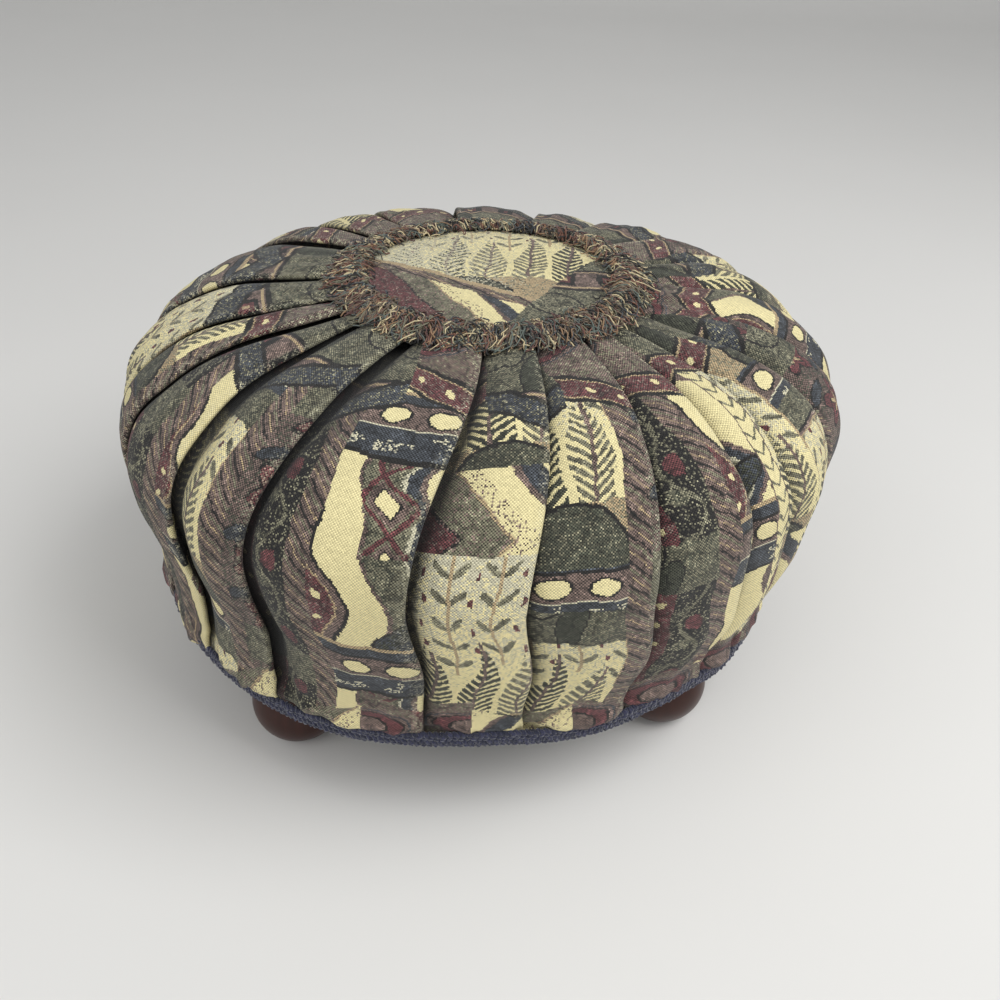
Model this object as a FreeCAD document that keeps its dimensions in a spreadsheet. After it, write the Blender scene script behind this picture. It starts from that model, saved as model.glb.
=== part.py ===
"""Round pleated footstool: a padded drum on four bun feet, as separate pieces at real size.

Lengths are millimetres and turns are degrees. +Z is up, the origin lies on the floor under the
middle of the drum, and bearings run anticlockwise from -Y, which is the front.
"""

import FreeCAD, Part
import math
import os
import Sketcher
from FreeCAD import Placement, Rotation, Vector

# Every driving size: its name in the sheet, its value and what it is.
SIZES = [
    ("fit_gap", 0.3, "room left between two soft or round faces that lie together"),
    ("overrun", 5.0, "how far a cutting solid runs past the face that it cuts"),
    ("hem_radius", 183.0, "cover where the braid binds it"),
    ("foot_height", 60.0, "floor to the top of each foot"),
    ("foot_inset", 27.0, "edge of the base to the middle of each foot"),
    ("foot_turn", 50.0, "bearing of the first foot"),
    ("bun_radius", 26.0, "widest radius of a foot, whose bun is part of a ball"),
    ("sole_radius", 14.0, "flat underside of a foot"),
    ("neck_radius", 15.0, "neck between a foot's bun and its collar"),
    ("collar_radius", 19.0, "collar at the top of a foot"),
    ("collar_height", 6.0, "collar at the top of a foot"),
    ("board_inset", 6.0, "hem of the cover to the edge of the round plywood base"),
    ("board_thickness", 15.0, "round plywood base"),
    ("cambric_inset", 6.0, "edge of the base to the edge of the black cloth under it"),
    ("cambric_thickness", 0.5, "black cloth under the base"),
    ("stud_radius", 4.0, "machine thread of a hanger bolt"),
    ("stud_length", 14.0, "hanger bolt above the foot"),
    ("screw_radius", 3.8, "wood thread of a hanger bolt"),
    ("screw_length", 25.0, "hanger bolt inside the foot"),
    ("screw_tip", 5.0, "pointed end of a hanger bolt"),
    ("stud_chamfer", 0.8, "bevel on the free end of a hanger bolt"),
    ("thread_gap", 0.2, "room round a thread in its hole"),
    ("flange_radius", 9.5, "flange of a T-nut"),
    ("flange_thickness", 1.4, "flange of a T-nut"),
    ("barrel_wall", 1.2, "wall of a T-nut's barrel"),
    ("barrel_length", 10.5, "T-nut from the top of its flange to the end of its barrel"),
    ("belly_swell", 17.0, "hem to the widest crest of the pleats, outwards"),
    ("belly_rise", 100.5, "hem to the widest crest of the pleats, upwards"),
    ("hem_swell", 1.2, "how far the curve of the side ends outside the hem"),
    ("low_shoulder_radius", 50.0, "curve just above the belly"),
    ("high_shoulder_radius", 105.0, "flatter curve over the shoulder"),
    ("cover_depth", 8.5, "crest of the pleats to the inner face of the cover"),
    ("pleat_step", 7.5, "drop from a pleat's free fold to the pleat under it"),
    ("pleat_roll", 1.6, "how far a pleat rolls down to its free fold"),
    ("hem_bulge", 8.0, "height over which the cover swells out above the braid"),
    ("ring_radius", 74.5, "inner edge of the pleated cover"),
    ("wadding_thickness", 5.0, "wadding between the foam and the cover"),
    ("panel_thickness", 1.6, "woven cloth of the round panel"),
    ("panel_crown", 3.6, "rise of the round panel above its edge"),
    ("crown_flat", 3.0, "flat middle of the round panel and of its pad"),
    ("header_width", 10.0, "woven tape that holds the fringe"),
    ("header_overlap", 2.0, "how far that tape lies over the edge of the pleats"),
    ("header_thickness", 1.2, "woven tape that holds the fringe"),
    ("fringe_reach", 20.5, "fringe from its tape's inner edge outwards"),
    ("fringe_height", 6.4, "top of the fringe above the seam of the panel"),
    ("braid_width", 10.0, "braid along the hem"),
    ("braid_thickness", 4.5, "braid along the hem"),
    ("braid_lift", 1.5, "braid above the lower edge of the cover"),
    ("staple_width", 10.0, "across the back of a staple"),
    ("staple_wire", 0.8, "wire of a staple"),
    ("staple_leg", 12.0, "leg of a cover staple"),
    ("cambric_staple_leg", 6.0, "leg of a dust cover staple"),
    ("cambric_staple_inset", 4.0, "edge of the dust cover to its staples"),
]

FOOT_NAMES = ["front_right", "back_right", "back_left", "front_left"]
FOOT_COUNT = len(FOOT_NAMES)
COVER_STAPLE_COUNT = 36
CAMBRIC_STAPLE_COUNT = 20
FULL_TURN = 360.0
QUARTER_TURN = 90.0

# Turn of the outline's normal where the low and the high curve of the shoulder end, in shares of
# the quarter turn from the belly to the top.
LOW_SHOULDER_SHARE = 0.5
HIGH_SHOULDER_SHARE = 0.9

# Where each pleat's free fold lies, in shares of a full turn from the front: at the belly, and
# at the ring of fringe. The folds swirl a little between the two, and are uneven, as sewn by hand.
BELLY_FOLD_SHARES = [
    -0.090, -0.025, 0.015, 0.061, 0.106, 0.133, 0.175, 0.219, 0.264, 0.311, 0.361,
    0.414, 0.467, 0.519, 0.569, 0.611, 0.653, 0.728, 0.781, 0.814, 0.867,
]
RING_FOLD_SHARES = [
    -0.083, -0.008, 0.042, 0.092, 0.119, 0.144, 0.181, 0.214, 0.258, 0.306, 0.356,
    0.406, 0.458, 0.528, 0.594, 0.633, 0.669, 0.750, 0.808, 0.836, 0.861,
]
HEM_SWIRL_SHARE = 0.3
PLEAT_CREST_SHARE = 0.6

# The stations of the cover's loft. On the side, the first share is of the turn from the belly down
# to the hem; on the shoulder, of its whole turn; and on the crown, of the way from the ring out to
# the shoulder. The second share is of the full pleat step, and says how deep the folds are there.
SIDE_STATION_SHARES = [(0.45, 0.93), (0.0, 1.0)]
SHOULDER_STATION_SHARES = [(0.27, 1.0), (0.54, 0.95), (0.72, 0.85), (0.86, 0.75), (1.0, 0.65)]
CROWN_STATION_SHARES = [(0.48, 0.55), (0.2, 0.45)]
HEM_STEP_SHARE = 0.2
BULGE_STEP_SHARE = 0.6
BULGE_INSET_SHARE = 0.2
RING_END_SHARE = 0.965
RING_STEP_SHARE = 0.12
CROWN_MIDDLE_SHARE = 0.75

doc = FreeCAD.newDocument("Footstool")
sheet = doc.addObject("Spreadsheet::Sheet", "Sizes")


class Size:
    """A value worked out from the sheet, with the expression that binds it to the sheet."""

    def __init__(self, value, text):
        self.value = value
        self.text = text

    def __add__(self, other):
        other = as_size(other)
        return Size(self.value + other.value, f"({self.text} + {other.text})")

    def __sub__(self, other):
        other = as_size(other)
        return Size(self.value - other.value, f"({self.text} - {other.text})")

    def __rsub__(self, other):
        return as_size(other) - self

    def __mul__(self, other):
        other = as_size(other)
        return Size(self.value * other.value, f"({self.text} * {other.text})")

    def __truediv__(self, other):
        other = as_size(other)
        return Size(self.value / other.value, f"({self.text} / {other.text})")

    __radd__ = __add__
    __rmul__ = __mul__


def as_size(value):
    """A plain number as a size that no cell drives."""
    if isinstance(value, Size):
        return value
    return Size(value, repr(value))


def square_root(size):
    return Size(math.sqrt(size.value), f"sqrt({size.text})")


def cosine(turn):
    return Size(math.cos(math.radians(turn.value)), f"cos({turn.text})")


def sine(turn):
    return Size(math.sin(math.radians(turn.value)), f"sin({turn.text})")


def fill_sheet():
    """Writes the driving sizes into the sheet and gives each as a bound size, by name."""
    sizes = {}
    for row, (alias, value, note) in enumerate(SIZES, start=1):
        sheet.set(f"A{row}", alias)
        sheet.set(f"B{row}", str(value))
        sheet.set(f"C{row}", note)
        sheet.setAlias(f"B{row}", alias)
        sizes[alias] = Size(value, f"Sizes.{alias}")
    doc.recompute()
    return sizes


size = fill_sheet()

# Heights of the layers, from the floor up, and the radii that follow the hem.
hem_height = size["foot_height"] + size["cambric_thickness"]
board_top = hem_height + size["board_thickness"]
braid_bottom = hem_height + size["braid_lift"]
braid_middle = braid_bottom + size["braid_width"] / 2
braid_top = braid_bottom + size["braid_width"]
nut_radius = size["stud_radius"] + size["thread_gap"] + size["barrel_wall"]
braid_radius = size["hem_radius"] + size["fit_gap"]
board_radius = size["hem_radius"] - size["board_inset"]
foot_circle_radius = board_radius - size["foot_inset"]
cambric_radius = board_radius - size["cambric_inset"]
panel_radius = size["ring_radius"] - size["fit_gap"]
header_outer = size["ring_radius"] + size["header_overlap"]
header_inner = header_outer - size["header_width"]
fringe_outer = header_inner + size["fringe_reach"]
cambric_staple_radius = cambric_radius - size["cambric_staple_inset"]
slot_width = size["staple_width"] + size["fit_gap"] * 2
slot_height = size["staple_wire"] + size["fit_gap"] * 2

# The drum's outline is four arcs that run into each other: side, low shoulder, high shoulder
# and crown. The crown's middle lies on the stool's axis.
belly_radius = size["hem_radius"] + size["belly_swell"]
belly_height = hem_height + size["belly_rise"]
side_drop = size["belly_swell"] - size["hem_swell"]
side_curve_radius = (size["belly_rise"] * size["belly_rise"] + side_drop * side_drop) / (side_drop * 2)
low_turn = as_size(QUARTER_TURN * LOW_SHOULDER_SHARE)
shoulder_turn = as_size(QUARTER_TURN * HIGH_SHOULDER_SHARE)
side_middle = (belly_radius - side_curve_radius, belly_height)
low_middle = (belly_radius - size["low_shoulder_radius"], belly_height)
high_drop = size["high_shoulder_radius"] - size["low_shoulder_radius"]
high_middle = (
    low_middle[0] - high_drop * cosine(low_turn),
    low_middle[1] - high_drop * sine(low_turn),
)
crown_drop = high_middle[0] / cosine(shoulder_turn)
crown_radius = size["high_shoulder_radius"] + crown_drop
crown_middle = high_middle[1] - crown_drop * sine(shoulder_turn)


def crown_height(radius, inset):
    """Height of the crown at a radius, on the surface that lies inset below the pleats' crest."""
    curve = crown_radius - inset
    return crown_middle + square_root(curve * curve - radius * radius)


seam_height = crown_height(size["ring_radius"], 0.0)


def arc_at(turn):
    """Middle and radius of the outline's arc whose normal has this turn from the level."""
    if turn <= 0:
        return side_middle[0].value, side_middle[1].value, side_curve_radius.value
    if turn <= low_turn.value:
        return low_middle[0].value, low_middle[1].value, size["low_shoulder_radius"].value
    if turn <= shoulder_turn.value:
        return high_middle[0].value, high_middle[1].value, size["high_shoulder_radius"].value
    return 0.0, crown_middle.value, crown_radius.value


def outline_point(turn, inset):
    """Radius and height of the outline where its normal has this turn, moved in by inset."""
    middle_radius, middle_height, curve = arc_at(turn)
    reach = curve - inset
    angle = math.radians(turn)
    return middle_radius + reach * math.cos(angle), middle_height + reach * math.sin(angle)


def side_turn(height, inset):
    """Turn of the side's normal at a height below the belly."""
    reach = side_curve_radius.value - inset
    return math.degrees(math.asin((height - belly_height.value) / reach))


def polar(radius, share, height):
    """A point at a radius and height, on a bearing given as a share of a full turn."""
    angle = math.radians(share * FULL_TURN - QUARTER_TURN)
    return Vector(radius * math.cos(angle), radius * math.sin(angle), height)


def along_turn(turn):
    """The direction, in the XZ section, of a normal with this turn from the level."""
    angle = math.radians(turn)
    return Vector(math.cos(angle), 0, math.sin(angle))


def drum_solid(inset, bottom):
    """The space inside the outline moved in by inset, above a flat bottom."""
    turns = [side_turn(bottom, inset), 0.0, low_turn.value, shoulder_turn.value, QUARTER_TURN]
    edges = []
    for first, last in zip(turns, turns[1:]):
        middle_radius, middle_height, curve = arc_at(last)
        middle = Vector(middle_radius, 0, middle_height)
        points = [middle + along_turn(turn) * (curve - inset) for turn in (first, (first + last) / 2, last)]
        edges.append(Part.Arc(*points).toShape())
    foot_of_side = edges[0].Vertexes[0].Point
    top = edges[-1].Vertexes[-1].Point
    axis_foot = Vector(0, 0, bottom)
    edges.append(Part.makeLine(top, axis_foot))
    edges.append(Part.makeLine(axis_foot, foot_of_side))
    face = Part.Face(Part.Wire(Part.__sortEdges__(edges)))
    return face.revolve(Vector(0, 0, 0), Vector(0, 0, 1), FULL_TURN)


# Sketches


def origin_plane(body, role):
    return next(plane for plane in body.Origin.OriginFeatures if plane.Role == role)


def new_body(label):
    body = doc.addObject("PartDesign::Body", label)
    body.Label = label
    return body


def new_sketch(body, name, role, lift=None):
    """A sketch on one of the body's own planes, lifted off it by a bound size."""
    sketch = body.newObject("Sketcher::SketchObject", name)
    sketch.AttachmentSupport = [(origin_plane(body, role), "")]
    sketch.MapMode = "FlatFace"
    if lift is not None:
        sketch.AttachmentOffset = Placement(Vector(0, 0, lift.value), Rotation())
        sketch.setExpression("AttachmentOffset.Base.z", lift.text)
    return sketch


def constrain(sketch, bound, *what):
    """Adds one constraint and binds its value to the sheet."""
    index = sketch.addConstraint(Sketcher.Constraint(*what, bound.value))
    sketch.setExpression(f"Constraints[{index}]", bound.text)


def pin_point(sketch, item, end, across, up):
    """Holds one point of a sketch item at a bound place, or on an axis where that place is 0."""
    for name, axis, bound in (("DistanceX", -2, across), ("DistanceY", -1, up)):
        if as_size(bound).value == 0:
            sketch.addConstraint(Sketcher.Constraint("PointOnObject", item, end, axis))
        else:
            constrain(sketch, as_size(bound), name, -1, 1, item, end)


def flat_point(place):
    return Vector(as_size(place[0]).value, as_size(place[1]).value, 0)


def draw_outline(sketch, *places):
    """A closed outline through bound corners. A side to a corner given as (via, corner) is an arc."""
    corners = [place[1] if isinstance(place[0], tuple) else place for place in places]
    arcs = [place[0] if isinstance(place[0], tuple) else None for place in places]
    ends = []
    for index, corner in enumerate(corners):
        start, finish = flat_point(corners[index - 1]), flat_point(corner)
        via = arcs[index]
        if via is None:
            item = sketch.addGeometry(Part.LineSegment(start, finish), False)
            ends.append((item, 1, 2))
            continue
        anticlockwise = (flat_point(via) - start).cross(finish - start).z > 0
        first, last = (start, finish) if anticlockwise else (finish, start)
        item = sketch.addGeometry(Part.Arc(first, flat_point(via), last), False)
        ends.append((item, 1, 2) if anticlockwise else (item, 2, 1))
        marker = sketch.addGeometry(Part.Point(flat_point(via)), True)
        pin_point(sketch, marker, 1, *via)
        sketch.addConstraint(Sketcher.Constraint("PointOnObject", marker, 1, item))
    for index, (item, start_end, finish_end) in enumerate(ends):
        pin_point(sketch, item, finish_end, *corners[index])
        following = ends[(index + 1) % len(ends)]
        sketch.addConstraint(
            Sketcher.Constraint("Coincident", item, finish_end, following[0], following[1])
        )


def draw_circle(sketch, middle, radius):
    circle = Part.Circle(flat_point(middle), Vector(0, 0, 1), radius.value)
    item = sketch.addGeometry(circle, False)
    constrain(sketch, radius, "Radius", item)
    pin_point(sketch, item, 3, *middle)


def draw_slot(sketch, inner, outer, width):
    """A rectangle that lies across the X axis, from an inner to an outer distance."""
    half = width / 2
    low, high = half * -1, half
    draw_outline(sketch, (inner, low), (outer, low), (outer, high), (inner, high))


# Features


def add_feature(body, kind, name, sketch, length=None, **settings):
    feature = body.newObject(kind, name)
    feature.Profile = sketch
    if length is not None:
        feature.Length = length.value
        feature.setExpression("Length", length.text)
    for key, value in settings.items():
        setattr(feature, key, value)
    doc.recompute()
    return feature


def pad(body, name, sketch, length, **settings):
    return add_feature(body, "PartDesign::Pad", name, sketch, length, **settings)


def pocket(body, name, sketch, length, **settings):
    """Cuts the sketch out of the body, and stops the build if that takes nothing away."""
    before = body.Shape.Volume
    feature = add_feature(body, "PartDesign::Pocket", name, sketch, length, **settings)
    if feature.Shape.Volume >= before:
        raise RuntimeError(f"{body.Label}: {name} cuts nothing")
    return feature


def turned(body, name, sketch):
    """A body of revolution about the sketch's upright axis."""
    axis = (sketch, ["V_Axis"])
    return add_feature(body, "PartDesign::Revolution", name, sketch, ReferenceAxis=axis, Angle=FULL_TURN)


def repeat_round(body, name, feature, count):
    """Copies of one feature, evenly spaced round the body's own Z axis."""
    pattern = body.newObject("PartDesign::PolarPattern", name)
    pattern.Originals = [feature]
    z_axis = next(line for line in body.Origin.OriginFeatures if line.Role == "Z_Axis")
    pattern.Axis = (z_axis, [""])
    pattern.Angle = FULL_TURN
    pattern.Occurrences = count
    body.Tip = pattern
    doc.recompute()
    return pattern


def place_body(body, lift, turn=None, out=None):
    """Lifts a body, and moves it out from the stool's axis on a bearing where one is given."""
    body.Placement = Placement(Vector(0, 0, lift.value), Rotation())
    body.setExpression("Placement.Base.z", lift.text)
    if turn is not None:
        across, along = out * sine(turn), out * cosine(turn) * -1
        body.Placement = Placement(Vector(across.value, along.value, lift.value), Rotation())
        body.setExpression("Placement.Base.x", across.text)
        body.setExpression("Placement.Base.y", along.text)


def solid_piece(label, shape):
    """A sub-part whose shape is worked out from the sheet's values."""
    piece = doc.addObject("Part::Feature", label)
    piece.Label = label
    piece.Shape = shape
    piece.Placement = Placement()
    return piece


# Base board, with its T-nut seats and the slots that the staples have cut into it


def make_base_board():
    body = new_body("base_board")
    disc = new_sketch(body, "board_disc", "XY_Plane")
    draw_circle(disc, (0, 0), board_radius)
    pad(body, "board", disc, size["board_thickness"])
    seats = [
        ("barrel_hole", nut_radius + size["fit_gap"], size["board_thickness"]),
        ("flange_seat", size["flange_radius"] + size["fit_gap"], size["flange_thickness"]),
    ]
    for name, radius, depth in seats:
        ring = new_sketch(body, f"{name}_ring", "XY_Plane", lift=size["board_thickness"])
        draw_circle(ring, (foot_circle_radius, 0), radius)
        hole = pocket(body, name, ring, depth)
        repeat_round(body, f"{name}s", hole, FOOT_COUNT)
    edge = new_sketch(body, "edge_slot_outline", "XY_Plane", lift=braid_middle - hem_height)
    leg_end = size["hem_radius"] - size["staple_leg"] - size["fit_gap"]
    draw_slot(edge, leg_end, board_radius + size["overrun"], slot_width)
    slot = pocket(body, "edge_slot", edge, slot_height, Midplane=True)
    repeat_round(body, "edge_slots", slot, COVER_STAPLE_COUNT)
    under = new_sketch(body, "under_slot_outline", "XY_Plane")
    half_wire = slot_height / 2
    draw_slot(under, cambric_staple_radius - half_wire, cambric_staple_radius + half_wire, slot_width)
    under_slot = pocket(body, "under_slot", under, size["cambric_staple_leg"], Reversed=True)
    repeat_round(body, "under_slots", under_slot, CAMBRIC_STAPLE_COUNT)
    place_body(body, hem_height)
    body.Placement.Rotation = Rotation(Vector(0, 0, 1), size["foot_turn"].value - QUARTER_TURN)
    body.setExpression("Placement.Rotation.Angle", f"{size['foot_turn'].text} - {QUARTER_TURN}")


def make_dust_cover():
    body = new_body("dust_cover")
    disc = new_sketch(body, "cloth_disc", "XY_Plane")
    draw_circle(disc, (0, 0), cambric_radius)
    pad(body, "cloth", disc, size["cambric_thickness"])
    ring = new_sketch(body, "bolt_hole_ring", "XY_Plane", lift=size["cambric_thickness"])
    draw_circle(ring, (foot_circle_radius, 0), size["stud_radius"] + size["fit_gap"])
    hole = pocket(body, "bolt_hole", ring, size["cambric_thickness"])
    repeat_round(body, "bolt_holes", hole, FOOT_COUNT)
    under = new_sketch(body, "staple_slot_outline", "XY_Plane", lift=size["cambric_thickness"])
    half_wire = slot_height / 2
    draw_slot(under, cambric_staple_radius - half_wire, cambric_staple_radius + half_wire, slot_width)
    slot = pocket(body, "staple_slot", under, size["cambric_thickness"])
    repeat_round(body, "staple_slots", slot, CAMBRIC_STAPLE_COUNT)
    place_body(body, size["foot_height"])
    body.Placement.Rotation = Rotation(Vector(0, 0, 1), size["foot_turn"].value - QUARTER_TURN)
    body.setExpression("Placement.Rotation.Angle", f"{size['foot_turn'].text} - {QUARTER_TURN}")


# Feet and what holds them


def ball_height(radius):
    """How far above or below its middle the bun's ball has this radius."""
    return square_root(size["bun_radius"] * size["bun_radius"] - radius * radius)


def make_foot(label, turn):
    body = new_body(label)
    outline = new_sketch(body, "bun_outline", "XZ_Plane")
    widest = ball_height(size["sole_radius"])
    neck_foot = widest + ball_height(size["neck_radius"])
    collar_foot = size["foot_height"] - size["collar_height"]
    draw_outline(
        outline,
        (0, 0),
        (size["sole_radius"], 0),
        ((size["bun_radius"], widest), (size["neck_radius"], neck_foot)),
        (size["neck_radius"], collar_foot),
        (size["collar_radius"], collar_foot),
        (size["collar_radius"], size["foot_height"]),
        (0, size["foot_height"]),
    )
    turned(body, "bun", outline)
    ring = new_sketch(body, "pilot_ring", "XY_Plane", lift=size["foot_height"])
    draw_circle(ring, (0, 0), size["screw_radius"] + size["thread_gap"])
    pocket(body, "pilot_hole", ring, size["screw_length"] + size["fit_gap"])
    place_body(body, as_size(0.0), turn, foot_circle_radius)


def make_hanger_bolt(label, turn):
    body = new_body(label)
    outline = new_sketch(body, "bolt_outline", "XZ_Plane")
    screw_top = size["screw_length"]
    stud_top = screw_top + size["stud_length"]
    draw_outline(
        outline,
        (0, 0),
        (size["screw_radius"], size["screw_tip"]),
        (size["screw_radius"], screw_top),
        (size["stud_radius"], screw_top),
        (size["stud_radius"], stud_top - size["stud_chamfer"]),
        (size["stud_radius"] - size["stud_chamfer"], stud_top),
        (0, stud_top),
    )
    turned(body, "bolt", outline)
    place_body(body, size["foot_height"] - screw_top, turn, foot_circle_radius)


def make_t_nut(label, turn):
    body = new_body(label)
    barrel = new_sketch(body, "barrel_ring", "XY_Plane")
    draw_circle(barrel, (0, 0), nut_radius)
    pad(body, "barrel", barrel, size["barrel_length"])
    flange_height = size["barrel_length"] - size["flange_thickness"]
    flange = new_sketch(body, "flange_ring", "XY_Plane", lift=flange_height)
    draw_circle(flange, (0, 0), size["flange_radius"])
    pad(body, "flange", flange, size["flange_thickness"])
    bore = new_sketch(body, "bore_ring", "XY_Plane", lift=size["barrel_length"])
    draw_circle(bore, (0, 0), size["stud_radius"] + size["thread_gap"])
    pocket(body, "bore", bore, size["barrel_length"])
    place_body(body, board_top - size["barrel_length"], turn, foot_circle_radius)


# Staples


def staple(leg, radius, flat):
    """One staple on the front bearing: legs point inwards, or upwards where flat is false."""
    half, wire = size["staple_width"].value / 2, size["staple_wire"].value
    corners = [
        (-half, 0), (half, 0), (half, leg), (half - wire, leg),
        (half - wire, wire), (wire - half, wire), (wire - half, leg), (-half, leg),
    ]
    points = [Vector(across, along, -wire / 2) for across, along in corners + corners[:1]]
    solid = Part.Face(Part.makePolygon(points)).extrude(Vector(0, 0, wire))
    if not flat:
        solid.rotate(Vector(0, 0, 0), Vector(1, 0, 0), QUARTER_TURN)
    solid.translate(Vector(0, -radius, 0))
    return solid


def ring_of(shape, count, height, first_turn=0.0):
    """Copies of a shape round the stool's axis, at a height."""
    copies = []
    for index in range(count):
        copy = shape.copy()
        copy.translate(Vector(0, 0, height))
        turn = first_turn + FULL_TURN * index / count
        copy.rotate(Vector(0, 0, 0), Vector(0, 0, 1), turn)
        copies.append(copy)
    return Part.makeCompound(copies)


def make_staples():
    first = size["foot_turn"].value
    edge = staple(size["staple_leg"].value, size["hem_radius"].value, flat=True)
    group = ring_of(edge, COVER_STAPLE_COUNT, braid_middle.value, first)
    solid_piece("cover_staples", group)
    under = staple(size["cambric_staple_leg"].value, cambric_staple_radius.value, flat=False)
    crown_bottom = size["foot_height"].value - size["staple_wire"].value
    group = ring_of(under, CAMBRIC_STAPLE_COUNT, crown_bottom, first)
    solid_piece("dust_cover_staples", group)


# Filling and cover


def make_filling():
    wadding_inset = (size["cover_depth"] + size["fit_gap"]).value
    inner_inset = wadding_inset + size["wadding_thickness"].value
    foam_inset = inner_inset + size["fit_gap"].value
    bottom = board_top.value
    wadding = drum_solid(wadding_inset, bottom).cut(drum_solid(inner_inset, bottom))
    solid_piece("wadding_wrap", wadding)
    solid_piece("foam_core", drum_solid(foam_inset, bottom))


def fold_shares(swirl):
    """Bearings of the folds, between their places at the belly and at the ring."""
    pairs = zip(BELLY_FOLD_SHARES, RING_FOLD_SHARES)
    return [belly + (ring - belly) * swirl for belly, ring in pairs]


def pleat_section(radius, height, turn, step, swirl):
    """One closed ring round the cover: each pleat climbs to its crest, rolls over and drops."""
    out, up = math.cos(math.radians(turn)), math.sin(math.radians(turn))
    roll = size["pleat_roll"].value * step / size["pleat_step"].value
    shares = fold_shares(swirl)
    edges = []
    for index, finish in enumerate(shares):
        start = shares[index - 1] - (1.0 if index == 0 else 0.0)
        crest = start + (finish - start) * PLEAT_CREST_SHARE
        following = [(start, step), (crest, 0.0), (finish, roll), (finish, step)]
        points = [polar(radius - out * drop, share, height - up * drop) for share, drop in following]
        edges.append(Part.Arc(*points[:3]).toShape())
        edges.append(Part.makeLine(points[2], points[3]))
    return Part.Wire(edges)


def swirl_at(radius, height):
    """How far the folds have turned from their bearing at the belly, as a share."""
    if height < belly_height.value:
        return HEM_SWIRL_SHARE * (belly_height.value - height) / size["belly_rise"].value
    belly, ring = belly_radius.value, size["ring_radius"].value
    return (belly - radius) / (belly - ring)


def cover_stations():
    """Radius, height, turn of the normal and pleat step at each ring of the loft."""
    full_step = size["pleat_step"].value
    hem_step = full_step * HEM_STEP_SHARE
    hem = size["hem_radius"].value
    stations = [(hem, hem_height.value, 0.0, hem_step), (hem, braid_top.value, 0.0, hem_step)]
    bulge_height = (braid_top + size["hem_bulge"]).value
    bulge_turn = side_turn(bulge_height, 0.0)
    bulge_radius, _ = outline_point(bulge_turn, full_step * BULGE_INSET_SHARE)
    stations.append((bulge_radius, bulge_height, bulge_turn, full_step * BULGE_STEP_SHARE))
    hem_turn = side_turn(hem_height.value, 0.0)
    turns = [(hem_turn * way, share) for way, share in SIDE_STATION_SHARES]
    turns += [(shoulder_turn.value * way, share) for way, share in SHOULDER_STATION_SHARES]
    ring = size["ring_radius"].value
    shoulder_reach = crown_radius.value * math.cos(math.radians(shoulder_turn.value)) - ring
    for way, share in CROWN_STATION_SHARES:
        radius = ring + shoulder_reach * way
        turns.append((math.degrees(math.acos(radius / crown_radius.value)), share))
    for turn, share in turns:
        stations.append((*outline_point(turn, 0.0), turn, full_step * share))
    end_radius = size["ring_radius"].value * RING_END_SHARE
    end_height = crown_height(as_size(end_radius), 0.0).value
    stations.append((end_radius, end_height, 0.0, full_step * RING_STEP_SHARE))
    return stations


def make_pleated_cover():
    sections = [
        pleat_section(radius, height, turn, step, swirl_at(radius, height))
        for radius, height, turn, step in cover_stations()
    ]
    pleats = Part.makeLoft(sections, True, False)
    overrun = size["overrun"].value
    base = hem_height.value - overrun
    rim = Part.makeCylinder(
        (board_radius + size["fit_gap"]).value, board_top.value - base, Vector(0, 0, base)
    )
    well_floor = Vector(0, 0, board_top.value)
    bore = Part.makeCylinder(size["ring_radius"].value, seam_height.value, well_floor)
    hollow = drum_solid(size["cover_depth"].value, board_top.value).fuse([rim, bore])
    shell = pleats.cut(hollow)
    depth = (size["board_inset"] + size["overrun"] * 2).value
    slot = Part.makeBox(slot_width.value, depth, slot_height.value)
    slot.translate(Vector(-slot_width.value / 2, -size["hem_radius"].value - overrun, -slot_height.value / 2))
    slots = ring_of(slot, COVER_STAPLE_COUNT, braid_middle.value, size["foot_turn"].value)
    solid_piece("pleated_cover", shell.cut(slots))


def crowned(radius, top, edge_drop):
    """The outline corners of a crowned face: through its middle height, out to its edge."""
    crown = size["panel_crown"]
    via = (radius / 2, top - crown * (1 - CROWN_MIDDLE_SHARE))
    return via, (radius, top - edge_drop)


def make_centre_panel():
    body = new_body("centre_panel")
    outline = new_sketch(body, "panel_outline", "XZ_Plane")
    crown, thickness = size["panel_crown"], size["panel_thickness"]
    under = crown - thickness
    top_via, _ = crowned(panel_radius, crown, crown)
    draw_outline(
        outline,
        (0, under),
        (size["crown_flat"], under),
        crowned(panel_radius, under, crown),
        (panel_radius, 0),
        (top_via, (size["crown_flat"], crown)),
        (0, crown),
    )
    turned(body, "panel", outline)
    place_body(body, seam_height)


def make_panel_pad():
    body = new_body("panel_pad")
    outline = new_sketch(body, "pad_outline", "XZ_Plane")
    gap, depth = size["fit_gap"], size["cover_depth"]
    top = size["panel_crown"] - size["panel_thickness"] - gap
    middle = panel_radius / 2
    top_via, edge = crowned(panel_radius, top, size["panel_crown"])
    seat = crown_height(as_size(0.0), depth) - seam_height
    seat_middle = crown_height(middle, depth) - seam_height
    seat_edge = crown_height(panel_radius, depth) - seam_height
    draw_outline(
        outline,
        (0, seat),
        (size["crown_flat"], seat),
        ((middle, seat_middle), (panel_radius, seat_edge)),
        edge,
        (top_via, (size["crown_flat"], top)),
        (0, top),
    )
    turned(body, "pad", outline)
    place_body(body, seam_height)


def header_seat(radius):
    """Underside of the fringe's tape above the seam, just clear of the crowned panel."""
    share = radius / panel_radius
    return size["panel_crown"] * (1 - share * share) + size["fit_gap"] * 2


def make_fringe_header():
    body = new_body("fringe_header")
    outline = new_sketch(body, "tape_outline", "XZ_Plane")
    inner, outer = header_seat(header_inner), size["fit_gap"]
    thickness = size["header_thickness"]
    draw_outline(
        outline,
        (header_inner, inner),
        (header_outer, outer),
        (header_outer, outer + thickness),
        (header_inner, inner + thickness),
    )
    turned(body, "tape", outline)
    place_body(body, seam_height)


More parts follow.
